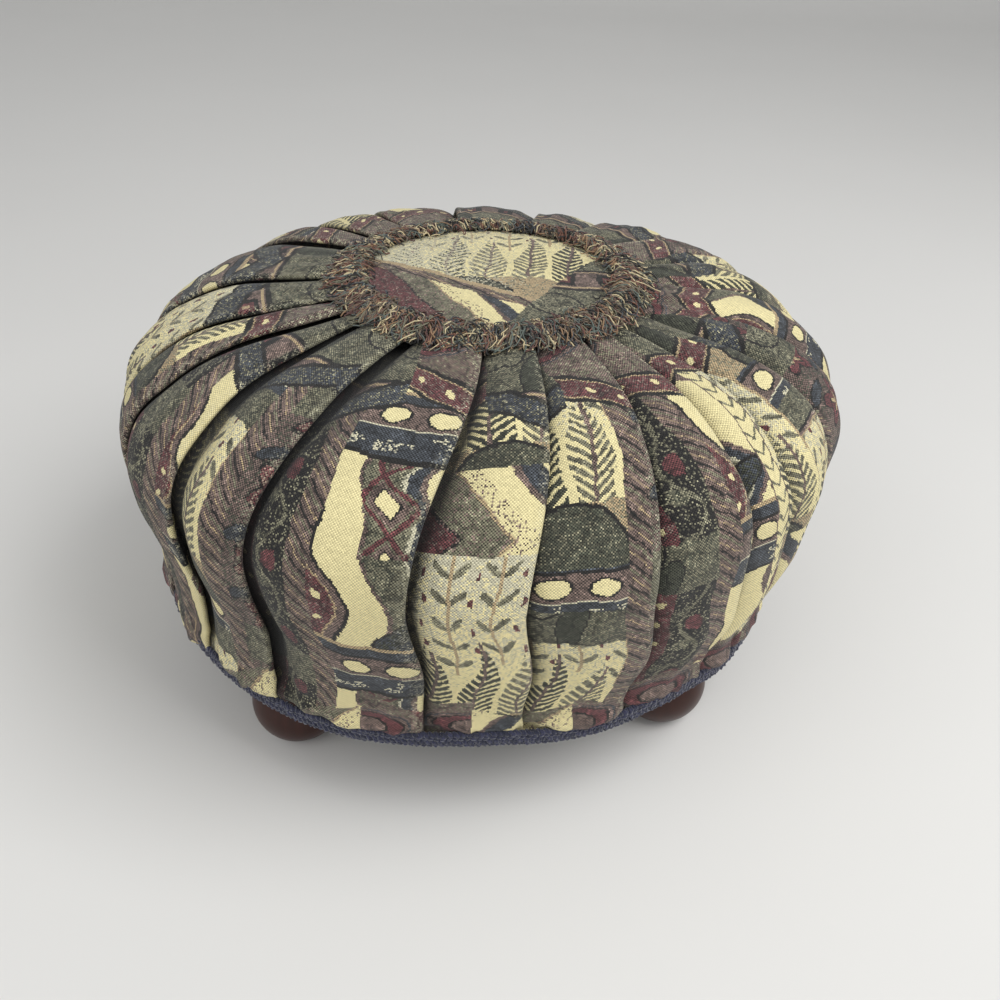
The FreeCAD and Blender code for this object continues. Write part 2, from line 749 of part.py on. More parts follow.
def make_fringe():
    body = new_body("fringe")
    outline = new_sketch(body, "fringe_outline", "XZ_Plane")
    lift = size["header_thickness"] + size["fit_gap"]
    hang = crown_height(fringe_outer, 0.0) - seam_height + size["fit_gap"]
    crest = ((header_inner + fringe_outer) / 2, size["fringe_height"])
    draw_outline(
        outline,
        (crest, (header_inner, header_seat(header_inner) + lift)),
        (header_outer, size["fit_gap"] + lift),
        (fringe_outer, hang),
    )
    turned(body, "threads", outline)
    place_body(body, seam_height)


def make_hem_braid():
    body = new_body("hem_braid")
    outline = new_sketch(body, "braid_outline", "XZ_Plane")
    width = size["braid_width"]
    draw_outline(
        outline,
        (braid_radius, 0),
        ((braid_radius + size["braid_thickness"], width / 2), (braid_radius, width)),
    )
    turned(body, "braid", outline)
    place_body(body, braid_bottom)


def check_and_write():
    """Stops if any object failed, then writes each sub-part's solids to its own file."""
    doc.recompute()
    failed = [item.Label for item in doc.Objects if {"Invalid", "Error"} & set(item.State)]
    if failed:
        raise RuntimeError(f"failed: {failed}")
    os.makedirs("parts", exist_ok=True)
    pieces = [item for item in doc.Objects if item.TypeId in ("PartDesign::Body", "Part::Feature")]
    pieces = [item for item in pieces if item.getParentGeoFeatureGroup() is None]
    for piece in pieces:
        if piece.Shape.isNull() or not piece.Shape.isValid():
            raise RuntimeError(f"{piece.Label} has no sound shape")
        box = piece.Shape.BoundBox
        print(
            f"{piece.Label}: {len(piece.Shape.Solids)} solids, {piece.Shape.Volume:.0f} mm3, "
            f"z {box.ZMin:.2f} to {box.ZMax:.2f}, across {box.XLength:.2f}"
        )
        piece.Shape.exportStep(os.path.join("parts", f"{piece.Label}.step"))


make_base_board()
make_dust_cover()
for foot_index, foot_name in enumerate(FOOT_NAMES):
    foot_bearing = size["foot_turn"] + FULL_TURN / FOOT_COUNT * foot_index
    make_foot(f"foot_{foot_name}", foot_bearing)
    make_hanger_bolt(f"hanger_bolt_{foot_name}", foot_bearing)
    make_t_nut(f"t_nut_{foot_name}", foot_bearing)
make_staples()
make_filling()
make_pleated_cover()
make_panel_pad()
make_centre_panel()
make_fringe_header()
make_fringe()
make_hem_braid()
check_and_write()
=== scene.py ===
"""Round footstool with a knife-pleated tapestry cover, dressed around its packed frame.

Lengths are metres, but those of the cloth's pattern are millimetres. Bearings are shares of a full
turn, anticlockwise from the front (-Y).
"""

import math
import random

import bpy
import numpy as np
from bpy.props import FloatProperty, FloatVectorProperty, IntProperty, PointerProperty
from mathutils import Matrix, Vector, noise


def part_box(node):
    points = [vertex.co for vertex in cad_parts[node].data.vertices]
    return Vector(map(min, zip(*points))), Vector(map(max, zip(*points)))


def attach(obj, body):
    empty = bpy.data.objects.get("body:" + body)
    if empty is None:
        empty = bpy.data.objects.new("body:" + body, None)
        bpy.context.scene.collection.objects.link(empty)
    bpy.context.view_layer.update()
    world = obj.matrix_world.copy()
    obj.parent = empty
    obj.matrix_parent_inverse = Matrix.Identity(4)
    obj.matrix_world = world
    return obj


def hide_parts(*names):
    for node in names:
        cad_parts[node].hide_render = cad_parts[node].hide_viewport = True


bl_info = {
    "name": "Pleated Footstool",
    "version": (1, 0, 0),
    "blender": (4, 5, 0),
    "location": "3D View > Sidebar > Footstool",
    "description": "Cover, fringe, braid, feet and studio for a round pleated footstool",
    "category": "Object",
}

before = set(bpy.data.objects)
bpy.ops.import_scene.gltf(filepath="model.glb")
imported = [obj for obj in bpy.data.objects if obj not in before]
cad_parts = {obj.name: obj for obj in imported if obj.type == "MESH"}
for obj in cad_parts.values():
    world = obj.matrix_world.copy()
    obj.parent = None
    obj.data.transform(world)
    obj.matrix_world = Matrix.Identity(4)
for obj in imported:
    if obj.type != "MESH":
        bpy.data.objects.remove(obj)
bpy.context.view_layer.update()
COVER_LOW, COVER_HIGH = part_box("pleated_cover")
PANEL_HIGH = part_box("centre_panel")[1]
BRAID_LOW, BRAID_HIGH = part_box("hem_braid")
CLOTH_LOW, CLOTH_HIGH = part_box("dust_cover")
TAPE_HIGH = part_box("fringe_header")[1]
BOARD_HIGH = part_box("base_board")[1]
FRINGE_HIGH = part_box("fringe")[1]

FULL_TURN = 2 * math.pi
MILLIMETRE = 0.001

# Bearings of the pleats' free folds at the belly and at the ring of fringe.
BELLY_FOLD_SHARES = [
    -0.090, -0.025, 0.015, 0.061, 0.106, 0.133, 0.175, 0.219, 0.264, 0.311, 0.361,
    0.414, 0.467, 0.519, 0.569, 0.611, 0.653, 0.728, 0.781, 0.814, 0.867,
]
RING_FOLD_SHARES = [
    -0.083, -0.008, 0.042, 0.092, 0.119, 0.144, 0.181, 0.214, 0.258, 0.306, 0.356,
    0.406, 0.458, 0.528, 0.594, 0.633, 0.669, 0.750, 0.808, 0.836, 0.861,
]
HEM_SWIRL_SHARE = 0.3

# Across a pleat: where its crest begins, and how much of its rise is the steep wall.
CREST_SHARE = 0.6
WALL_SHARE = 0.62

# How widely each pleat stands open beside its free fold.
OPEN_SHARES = [
    1.25, 1.35, 0.85, 1.0, 0.9, 1.1, 1.15, 0.9, 1.1, 0.85, 1.0, 1.15, 0.9, 1.1, 0.85, 1.1, 1.2, 0.9, 1.1,
    1.0, 1.2,
]

# How deep the pleats are along the cloth from the hem, in shares of its length and of the step.
DEPTH_SHARES = [
    (0.0, 0.12), (0.03, 0.15), (0.05, 0.45), (0.09, 0.75), (0.2, 0.95), (0.36, 1.0), (0.48, 0.97),
    (0.6, 0.9), (0.72, 0.8), (0.86, 0.66), (1.0, 0.5),
]

# How far the hem and its braid hang below their even line, and how far the cloth above the braid
# sags over it, by bearing, in millimetres.
HEM_SAG = [
    (-0.25, 2.0), (-0.13, 3.0), (-0.08, 4.5), (-0.045, 1.0), (-0.02, -2.0), (-0.005, -4.2), (0.03, -3.0),
    (0.06, -2.0), (0.082, -4.2), (0.104, -3.0), (0.13, 2.0), (0.155, 3.0), (0.2, 0.0), (0.35, -1.0),
]
CLOTH_SAG = [(-0.4, 2.0), (-0.3, 8.0), (-0.16, 10.0), (-0.12, 6.0), (-0.08, 2.0), (0.0, 0.0), (0.4, 2.5)]

# How much of that sag the cloth takes, by height: none at the base, most over the braid.
SAG_SHARES = [(0.064, 0.0), (0.069, 1.0), (0.076, 1.0), (0.115, 0.0)]

# How much fuller the filling has settled than its even outline, by height, in millimetres.
FULLNESS = [
    (0.072, 0.0), (0.08, -3.0), (0.095, -4.2), (0.115, -3.4), (0.14, -1.6), (0.16, -0.4), (0.18, 1.0),
    (0.2, 1.8), (0.215, 2.2), (0.225, 1.4), (0.232, 0.0),
]

# The cloth's line outwards and upwards from the hem, in millimetres: from under the board's edge, up
# behind the braid and out over it. Then its line inwards and upwards from the ring, under the tape.
HEM_LINE = [(-9.0, -1.6), (-2.0, -1.6), (0.0, 0.0), (0.3, 8.4), (3.8, 9.2), (6.2, 10.8), (7.0, 14.0)]
RING_LINE = [(-3.0, -0.8), (-6.0, -3.0)]

# The fringe's yarns: where each begins in the draw of yarns, and its colour or the cloth's yarn.
FRINGE_YARNS = [
    (0.0, (118, 80, 64)), (0.12, "olive"), (0.26, (96, 106, 98)), (0.34, (96, 66, 60)),
    (0.43, (206, 190, 150)), (0.54, "charcoal"), (0.73, (112, 96, 80)), (0.85, (146, 116, 86)),
    (0.93, "slate"),
]


def linear(*levels):
    """A colour as the eye reads it, each level from 0 to 255, as the light that it reflects."""
    shares = [level / 255 for level in levels]
    return tuple(s / 12.92 if s < 0.04045 else ((s + 0.055) / 1.055) ** 2.4 for s in shares)


def table_value(table, place, period=None):
    """A value from a table of places and values; with a period the table runs on round it."""
    places, values = zip(*table)
    return float(np.interp(place, places, values, period=period))


def length_property(name, description, default):
    return FloatProperty(name=name, description=description, default=default, unit="LENGTH")


def colour_property(name, description, *levels):
    return FloatVectorProperty(
        name=name, description=description, default=linear(*levels), subtype="COLOR", min=0, max=1
    )


class FootstoolCover(bpy.types.PropertyGroup):
    """Sizes of the pleated cover and its panel."""

    hem_radius: length_property("Hem", "Radius of the cover under the braid", 0.183)
    belly_radius: length_property("Belly", "Radius of the widest crest", COVER_HIGH.x)
    belly_rise: length_property("Belly rise", "Hem to the widest crest, upwards", 0.1005)
    hem_swell: length_property("Hem swell", "How far the side ends outside the hem", 0.0012)
    low_shoulder: length_property("Low shoulder", "Curve just above the belly", 0.05)
    high_shoulder: length_property("High shoulder", "Flatter curve over the shoulder", 0.105)
    ring_radius: length_property("Ring", "Inner edge of the pleats", 0.0745)
    bulge_rise: length_property("Bulge", "Hem to where the cloth has swelled over the braid", 0.02)
    step: length_property("Pleat step", "Free fold down to the pleat under it", 0.0112)
    wall: length_property("Pleat wall", "How soon a pleat rises beside the fold over it", 0.0048)
    roll: length_property("Pleat roll", "How far a pleat rolls down to its free fold", 0.0016)
    fold: length_property("Fold radius", "Bend of the cloth in a free fold", 0.0017)
    room: length_property("Room", "Crest of a pleat down to the wadding", 0.0087)
    hem_room: length_property("Hem room", "Crest of a pleat down to the edge of the board", 0.0045)
    lap: length_property("Lap", "Cloth hidden under the next free fold", 0.009)
    spare: length_property("Spare", "Cloth taken up between two pleats", 0.034)
    row: length_property("Row", "Mesh step along a pleat", 0.0023)
    sway: length_property("Sway", "How far a free fold strays sideways", 0.0030)
    lumps: length_property("Lumps", "Broad unevenness of the stuffing", 0.0026)
    dents: length_property("Dents", "Small unevenness of the stuffing", 0.0012)
    tension: length_property("Tension", "Ridges drawn along a pleat", 0.0016)
    gathers: length_property("Gathers", "Small gathers above the braid", 0.0022)
    lean_x: length_property("Lean to the right", "How far the soft top leans", 0.0074)
    lean_y: length_property("Lean to the back", "How far the soft top leans", -0.004)
    bow: length_property("Bow", "How far the side bows to the right below the belly", 0.0042)
    bow_height: length_property("Bow height", "Where the side bows most", 0.12)
    slump: length_property("Slump", "How far the back of the top has sunk", 0.0045)
    foam_depth: length_property("Foam depth", "Crests down to the foam", 0.0143)
    wadding_depth: length_property("Wadding depth", "Crests down to the wadding", 0.0091)
    wadding: length_property("Wadding", "Thickness of the wadding", 0.0046)
    pad_depth: length_property("Pad depth", "Crests down to the underside of the pad", 0.0081)


class FootstoolTapestry(bpy.types.PropertyGroup):
    """Colours and scale of the woven cloth."""

    thread: FloatProperty(name="Thread", description="Thread pitch in millimetres", default=0.75)
    repeat: FloatProperty(name="Repeat", description="Pattern repeat in millimetres", default=300)
    cream: colour_property("Cream", "Lightest yarn", 224, 212, 160)
    pale: colour_property("Pale", "Greyed cream yarn", 194, 189, 162)
    tan: colour_property("Tan", "Sandy yarn", 170, 150, 116)
    olive: colour_property("Olive", "Grey olive yarn", 119, 116, 95)
    moss: colour_property("Moss", "Dark green yarn", 63, 65, 53)
    slate: colour_property("Slate", "Blue grey yarn", 61, 65, 70)
    mauve: colour_property("Mauve", "Brown mauve yarn", 111, 94, 86)
    burgundy: colour_property("Burgundy", "Wine yarn", 98, 56, 57)
    charcoal: colour_property("Charcoal", "Darkest yarn", 31, 29, 27)


class FootstoolTrim(bpy.types.PropertyGroup):
    """Fringe and braid."""

    tufts: IntProperty(name="Tufts", description="Bunches of fringe threads", default=210)
    threads: IntProperty(name="Threads", description="Threads in a bunch", default=20)
    thread_radius: length_property("Thread", "Radius of a fringe thread", 0.00034)
    shortest: length_property("Shortest", "Reach of the shortest fringe thread", 0.0088)
    longest: length_property("Longest", "Reach of the longest fringe thread", 0.0186)
    stray: length_property("Stray", "How far a fringe thread strays sideways", 0.0022)
    tape_width: length_property("Tape", "Width of the tape under the fringe", 0.0100)
    braid_width: length_property("Braid", "Width of the braid", 0.0096)
    strands: IntProperty(name="Strands", description="Strands in the braid", default=5)
    strand_radius: length_property("Strand", "Radius of a strand of the braid", 0.00135)
    plaits: IntProperty(name="Plaits", description="Turns of the plait round the hem", default=78)
    navy: colour_property("Navy", "Dark yarn of the braid", 27, 31, 50)
    periwinkle: colour_property("Periwinkle", "Light yarn of the braid", 62, 64, 93)


class FootstoolStage(bpy.types.PropertyGroup):
    """Camera and studio."""

    distance: length_property("Distance", "Camera in front of the middle of the stool", 0.49427)
    height: length_property("Height", "Camera above the floor", 0.4426)
    yaw: FloatProperty(name="Yaw", description="Turn to the right", default=0.0367, unit="ROTATION")
    pitch: FloatProperty(name="Pitch", description="Turn down", default=0.6336, unit="ROTATION")
    roll: FloatProperty(name="Roll", description="Roll of the camera", default=0.0445, unit="ROTATION")
    focal: FloatProperty(name="Focal length", description="In widths of the picture", default=0.9621)
    floor: colour_property("Floor", "Plain floor", 224, 223, 220)


class Signal:
    """A node's output that can be used in sums."""

    def __init__(self, paint, socket):
        self.paint = paint
        self.socket = socket

    def math(self, operation, *others):
        values = dict(enumerate((self, *others)))
        return self.paint.node("ShaderNodeMath", {"operation": operation}, values)

    def __add__(self, other):
        return self.math("ADD", other)

    def __mul__(self, other):
        return self.math("MULTIPLY", other)

    def __sub__(self, other):
        return self.math("SUBTRACT", other)

    def __rsub__(self, other):
        return self.paint.node("ShaderNodeMath", {"operation": "SUBTRACT"}, {0: other, 1: self})

    def __truediv__(self, other):
        return self.math("DIVIDE", other)

    def __abs__(self):
        return self.math("ABSOLUTE")

    def __lt__(self, other):
        return self.math("LESS_THAN", other)

    def __gt__(self, other):
        return self.math("GREATER_THAN", other)

    __radd__ = __add__
    __rmul__ = __mul__

    def near(self, middle, half):
        """1 within half of the middle, else 0."""
        return self.math("COMPARE", middle, half)

    def wrap(self, pitch):
        """The distance from the nearest whole pitch."""
        return self.math("WRAP", pitch / 2, -pitch / 2)

    def cycle(self, pitch):
        """The distance past the last whole pitch."""
        return self.math("WRAP", pitch, 0.0)


class Paint:
    """One material, with a method that makes any node."""

    def __init__(self, name):
        self.material = bpy.data.materials.new(name)
        self.material.use_nodes = True
        self.tree = self.material.node_tree
        self.tree.nodes.clear()

    def tone(self, colour):
        """A colour as a colour socket takes it."""
        return colour if isinstance(colour, Signal) else (*colour, 1.0)

    def node(self, kind, settings=None, values=None, output=0):
        """A node with its settings, then the values or links of its sockets; gives one output."""
        made = self.tree.nodes.new(kind)
        for key, value in (settings or {}).items():
            if key == "stops":
                self.set_stops(made.color_ramp, value)
            else:
                setattr(made, key, value)
        for key, value in (values or {}).items():
            if isinstance(value, Signal):
                self.tree.links.new(value.socket, made.inputs[key])
            else:
                made.inputs[key].default_value = value
        return Signal(self, made.outputs[output] if made.outputs else None)

    def set_stops(self, ramp, stops):
        ramp.interpolation = "CONSTANT"
        while len(ramp.elements) < len(stops):
            ramp.elements.new(1.0)
        for element, (place, colour) in zip(ramp.elements, stops):
            element.position = place
            element.color = self.tone(colour)

    def steps(self, field, *stops):
        """Colours that change in steps as a field grows from 0 to 1."""
        return self.node("ShaderNodeValToRGB", {"stops": stops}, {0: field})

    def blend(self, mask, under, over):
        """One colour laid over another where the mask is 1."""
        values = {0: mask, 6: self.tone(under), 7: self.tone(over)}
        return self.node("ShaderNodeMix", {"data_type": "RGBA"}, values, output=2)

    def layers(self, colour, *covers):
        """Pairs of a mask and a colour, laid in turn over a first colour."""
        for mask, over in covers:
            colour = self.blend(mask, colour, over)
        return colour

    def dim(self, colour, share):
        """A colour made darker or lighter by a share that may vary."""
        grey = self.node("ShaderNodeCombineColor", None, {0: share, 1: share, 2: share})
        settings = {"data_type": "RGBA", "blend_type": "MULTIPLY", "clamp_factor": False}
        return self.node("ShaderNodeMix", settings, {0: 1.0, 6: self.tone(colour), 7: grey}, output=2)

    def vector(self, operation, *inputs, scale=None):
        values = dict(enumerate(inputs))
        if scale is not None:
            values["Scale"] = scale
        return self.node("ShaderNodeVectorMath", {"operation": operation}, values)

    def parts(self, vector):
        """The X and Y of a vector."""
        return [self.node("ShaderNodeSeparateXYZ", None, {0: vector}, output=i) for i in (0, 1)]

    def place(self):
        """Where a point is on its piece."""
        return self.node("ShaderNodeTexCoord", output=3)

    def cloth(self):
        """Where a point is on the flat cloth."""
        return self.node("ShaderNodeUVMap", {"uv_map": "cloth"})

    def noise(self, place, scale, detail=2.0, output=0):
        values = {"Vector": place, "Scale": scale, "Detail": detail}
        return self.node("ShaderNodeTexNoise", {"noise_dimensions": "3D"}, values, output)

    def random(self, place):
        """A random value for each exact place."""
        return self.node("ShaderNodeTexWhiteNoise", {"noise_dimensions": "3D"}, {0: place})

    def mark(self, name):
        """A value that the mesh carries at its points."""
        return self.node("ShaderNodeAttribute", {"attribute_name": name}, output=2)

    def bump(self, height, distance, strength=1.0):
        values = {"Height": height, "Distance": distance, "Strength": strength}
        return self.node("ShaderNodeBump", None, values)

    def finish(self, **sockets):
        """The shader and the output, with the shader's sockets by name."""
        values = {key.replace("_", " "): value for key, value in sockets.items()}
        shader = self.node("ShaderNodeBsdfPrincipled", None, values)
        self.node("ShaderNodeOutputMaterial", None, {"Surface": shader})
        return self.material


class Weave(Paint):
    """Woven cloth, drawn thread crossing by thread crossing, with its yarns by name."""

    def __init__(self, name, yarns):
        super().__init__(name)
        self.yarns = yarns
        self.flat = self.vector("SCALE", self.cloth(), scale=1 / MILLIMETRE)
        middle = (yarns.thread / 2, yarns.thread / 2, 0.0)
        self.crossing = self.vector("ADD", self.whole_threads(self.flat), middle)
        self.chance = self.random(self.crossing)

    def tone(self, colour):
        return super().tone(getattr(self.yarns, colour) if isinstance(colour, str) else colour)

    def whole_threads(self, place):
        return self.vector("SNAP", place, (self.yarns.thread,) * 3)

    def drawing_place(self):
        """Crossings shifted by whole threads, so that drawn lines waver as woven ones do."""
        waver = 9.0
        sway = self.noise(self.crossing, 0.03, 1.0, output=1)
        drift = self.vector("MULTIPLY_ADD", sway, (waver, waver, 0.0), (-waver / 2, -waver / 2, 0.0))
        return self.parts(self.vector("ADD", self.crossing, self.whole_threads(drift)))

    def cell_chance(self, across, along, width, height):
        """One random value for each cell of a grid of motifs."""
        place = self.node("ShaderNodeCombineXYZ", None, {0: across, 1: along})
        return self.random(self.vector("SNAP", place, (width, height, 1.0)))

    def mixed(self, turn, low, high):
        """Two yarns mixed by chance: the second where a crossing's chance is above the turn."""
        return self.blend(self.chance > turn, low, high)

    def woven(self, colour):
        """Lays the weave over the drawn pattern: leaves and fine lines in the dim yarns, and threads."""
        x, y = self.parts(self.flat)
        threads = math.pi / self.yarns.thread
        crossings = (x * threads).math("SINE") * (y * threads).math("SINE")
        light = self.node("ShaderNodeRGBToBW", None, {0: colour})
        dark = light < 0.3
        leaf = self.noise(self.crossing, 0.055, 1.0)
        line = self.noise(self.crossing, 0.13, 2.0)
        colour = self.dim(colour, 1.0 - (leaf.near(0.5, 0.012) * 0.4 + (leaf < 0.5) * 0.16) * dark)
        colour = self.dim(colour, 1.0 - line.near(0.52, 0.016) * dark * 0.45)
        colour = self.dim(colour, line.near(0.42, 0.014) * dark * 0.8 + 1.0)
        contrast = 0.7 - light * 0.75
        slub = self.noise(self.crossing, 0.45, 2.0) - 0.5
        thread = crossings * 1.7 + self.chance * 0.95 + slub * 1.8
        faded = self.noise(self.flat, 0.02, 2.0) * 0.24 + 0.88
        colour = self.dim(colour, (thread * contrast + light * 0.38 + 0.68) * faded)
        normal = self.bump(abs(crossings) + self.chance * 0.3, 0.35 * MILLIMETRE, 0.6)
        return self.finish(Base_Color=colour, Roughness=0.86, Normal=normal, Sheen_Weight=0.1)


# The cloth's motifs: each gives the colour at x across and y up from its own middle, in millimetres.


def oval(x, y, wide, high):
    """Grows from 0 in the middle of an oval to 1 at its edge, with half its width and height."""
    return (x * x) * (1 / wide**2) + (y * y) * (1 / high**2)


def wave(y, length, kind="SINE"):
    return (y * (FULL_TURN / length)).math(kind)


def rope(cloth, x, y):
    """A twisted border: slanting dark and sandy lines across brown."""
    pitch = 11.0
    return cloth.steps(
        (y + x * 0.9).cycle(pitch) / pitch, (0.0, "charcoal"), (0.12, "mauve"), (0.4, "tan"),
        (0.47, "mauve"), (0.72, "olive"), (0.86, "mauve"),
    )


def oval_band(cloth, x, y):
    """Across a column: slate stripes, a brown band with cream ovals, then slate with white tufts."""
    stripes = cloth.steps(
        (y + 20.0) / 40.0, (0.0, "charcoal"), (0.05, "slate"), (0.4, "pale"), (0.42, "mauve"),
        (0.78, "charcoal"), (0.82, "slate"), (0.94, "tan"),
    )
    bead = oval(x.wrap(22.0), y - 4.0, wide=6.5, high=4.6)
    cluster = cloth.noise(cloth.crossing, 0.09, 1.0) > 0.56
    tufts = cluster * (cloth.chance > 0.62) * y.near(-11.0, 5.0)
    return cloth.layers(stripes, (bead < 1.5, "charcoal"), (bead < 1.0, "cream"), (tufts, "pale"))


def fern_panel(cloth, x, y):
    """Cream ground with ferns, leafy stems and a few berries, over sand and a green mound."""
    pitch = 22.0
    tip = 34.0 - (x.cycle(2 * pitch) > pitch) * 13.0
    side = x.wrap(pitch) - (y * 0.07).math("SINE") * 2.2
    reach = ((tip - y) * 0.32).math("MINIMUM", 9.6)
    frond = (abs(side) < reach) * (y < tip) * ((y - abs(side) * 0.85).cycle(5.2) < 3.1)
    fern = cloth.steps(
        cloth.cell_chance(x + pitch / 2, y + 46.0, pitch, 92.0), (0.0, "slate"), (0.4, "moss"),
        (0.75, "olive"),
    )
    between = abs((x + pitch / 2).wrap(pitch))
    blade = oval(between - 4.2, (y - between * 0.9).wrap(14.0), wide=3.6, high=2.3)
    berry = oval(x.wrap(pitch), (y - tip - 9.0).wrap(28.0), wide=2.1, high=2.3)
    sand = y + cloth.noise(cloth.crossing, 0.08, 2.0) * 16.0 < -22.0
    mound = oval(x - 7.0, y + 52.0, wide=26.0, high=22.0)
    return cloth.layers(
        cloth.blend(cloth.chance < y * 0.011 + 0.04, "cream", "pale"),
        (frond, fern),
        ((abs(side) < 0.8) * (y < tip + 2.0), "mauve"),
        ((blade < 1.0) * (y > tip - 8.0), "olive"),
        ((between < 0.8) * (y > tip - 14.0), "tan"),
        ((berry < 1.0) * (y > tip), "burgundy"),
        (sand, cloth.mixed(0.74, "tan", "olive")),
        (mound < 1.15, "charcoal"),
        (mound < 1.0, cloth.mixed(0.3, "olive", "moss")),
    )


def framed_blocks(cloth, x, y):
    """Olive blocks with dim round leaves and brown frames, a dark square with a ring between."""
    pitch = 74.0
    drop = y.wrap(pitch)
    leaf = oval(x + 6.0, drop - 6.0, wide=13.0, high=12.0)
    other_leaf = oval(x - 12.0 - drop * 0.3, drop + 12.0, wide=6.0, high=13.0)
    square = abs(x.wrap(26.0)).math("MAXIMUM", abs((y + pitch / 2).wrap(pitch))) / 8.6
    ring = cloth.steps(square, (0.0, "tan"), (0.2, "burgundy"), (0.5, "charcoal"), (0.86, "mauve"))
    return cloth.layers(
        cloth.mixed(0.66, "olive", "moss"),
        (other_leaf < 1.25, "charcoal"),
        (other_leaf < 1.0, "moss"),
        (leaf < 1.2, "charcoal"),
        (leaf < 1.0, cloth.mixed(0.35, "moss", "olive")),
        (abs(drop) > 24.0, "mauve"),
        (abs(drop).near(25.0, 0.9), "charcoal"),
        (abs(drop).near(27.6, 0.5), "tan"),
        (square < 1.0, ring),
    )


def fern_column(cloth, x, y):
    """Ferns on cream, with a band of ovals below and a framed block above each."""
    drop = y.wrap(142.0)
    return cloth.layers(
        fern_panel(cloth, x, drop - 8.0),
        (drop < -48.0, oval_band(cloth, x, drop + 62.0)),
        (drop > 52.0, framed_blocks(cloth, x, y + 80.0)),
    )


def flower_strip(cloth, x, y):
    """Dim brown ground with wine flowers in dark outlines, and slate leaves between."""
    pitch = 38.0
    drop = y.wrap(pitch)
    petals = (drop.math("ARCTAN2", x) * 5.0).math("COSINE") * 3.6
    reach = (x * x + drop * drop).math("SQRT") - petals
    leaf = oval(abs(x) - 12.0, (y + pitch / 2).wrap(pitch) - x * 0.35, wide=7.0, high=3.4)
    bloom = cloth.steps(
        reach / 20.0, (0.0, "tan"), (0.12, "charcoal"), (0.2, "burgundy"), (0.5, "charcoal"),
        (0.58, "mauve"),
    )
    return cloth.layers(
        cloth.mixed(0.72, "mauve", "moss"), (leaf < 1.5, "charcoal"), (leaf < 1.0, "slate"),
        (reach < 11.6, bloom),
    )


def dotted_strip(cloth, x, y):
    """Wine strip with a row of cream dots, between thin lines."""
    dot = oval(x, y.wrap(14.0), wide=1.9, high=1.9)
    ground = cloth.mixed(0.78, "burgundy", "mauve")
    return cloth.layers(ground, (dot < 1.0, "cream"), (abs(x) > 6.0, "tan"))


def vine(cloth, x, y):
    """A waving stem with leaves and berries on charcoal with grey flecks."""
    pitch = 44.0
    side = x - wave(y, pitch) * 6.0
    leaf = oval(side + 6.0, y.wrap(pitch / 2) - side * 0.5, wide=5.0, high=3.4)
    berry = oval(side - 7.0, (y + pitch / 4).wrap(pitch), wide=4.6, high=5.4)
    return cloth.layers(
        cloth.mixed(0.8, "charcoal", "olive"), (abs(side) < 1.0, "olive"),
        (leaf < 1.0, cloth.mixed(0.45, "moss", "olive")), (berry < 1.0, "burgundy"),
    )


def waving_shapes(cloth, x, y):
    """Tall cream and olive shapes with waving edges, a chain of squares and a pair of leaves."""
    pitch = 132.0
    side = x + wave(y, pitch) * 10.0 + wave(y, 43.0, "COSINE") * 3.5
    shapes = cloth.steps(
        (side + 45.0) / 90.0, (0.0, "mauve"), (0.18, "charcoal"), (0.2, "cream"), (0.41, "mauve"),
        (0.43, "olive"), (0.63, "pale"), (0.65, "slate"), (0.7, "mauve"), (0.73, "cream"),
        (0.93, "mauve"),
    )
    middle, half = side - 4.0, y.cycle(pitch)
    square = abs(middle) / 9.0 + abs(y.wrap(pitch / 5)) / 10.0
    chain = cloth.steps(
        square / 1.7, (0.0, "cream"), (0.36, "charcoal"), (0.42, "mauve"), (0.62, "olive"),
        (0.7, "burgundy"), (0.9, "olive"),
    )
    drop = half - 98.0
    leaf = oval(middle * 0.8 + drop * 0.6, drop * 0.8 - middle * 0.6, wide=17.0, high=6.5)
    bud = oval(middle * 0.5 - drop * 0.87 - 14.0, drop * 0.5 + middle * 0.87 + 5.0, wide=9.0, high=4.0)
    return cloth.layers(
        shapes,
        (side < -32.0, dotted_strip(cloth, side + 39.0, y)),
        ((cloth.chance > 0.7) * side.near(3.0, 10.0), "moss"),
        ((square < 1.7) * half.near(36.0, 33.0) * (abs(middle) < 12.0), chain),
        (leaf < 1.3, "charcoal"),
        (leaf < 1.0, cloth.mixed(0.5, "moss", "slate")),
        (bud < 1.0, "slate"),
    )


def hem_figures(cloth, x, y):
    """Along the hem: brown ground with wine ovals in rings, and olive triangles between."""
    across = x.wrap(88.0)
    ring = oval(across, y - 20.0, wide=22.0, high=12.0)
    rings = cloth.steps(
        ring / 2.0, (0.0, "mauve"), (0.12, "charcoal"), (0.16, "burgundy"), (0.36, "charcoal"),
        (0.41, "mauve"), (0.5, "slate"), (0.56, "mauve"),
    )
    wedge = abs(across) + y * 0.5
    return cloth.layers(
        cloth.mixed(0.7, "mauve", "olive"), (ring < 1.3, rings), (wedge > 41.0, "burgundy"),
        (wedge > 47.0, "olive"),
    )


def leaf_chain(cloth, x, y):
    """A narrow cream strip with a chain of small leaves between brown edges."""
    pitch = 9.0
    reach = (y - abs(x) * 1.1).cycle(pitch) / pitch
    leaves = cloth.steps(reach, (0.0, "cream"), (0.42, "olive"), (0.62, "cream"))
    return cloth.blend(abs(x) > 4.8, leaves, "mauve")


def corner_wedges(cloth, x, y):
    """Wine, olive and cream triangles that meet on slanting lines."""
    fold = abs(y.wrap(98.0)) * 0.9 - 22.0
    wedges = cloth.steps(
        (x - fold + 60.0) / 120.0, (0.0, "burgundy"), (0.2, "charcoal"), (0.215, "olive"),
        (0.4, "tan"), (0.415, "cream"), (0.6, "mauve"), (0.63, "slate"), (0.72, "cream"),
    )
    return cloth.blend((cloth.chance > 0.82) * (x < fold), wedges, "mauve")


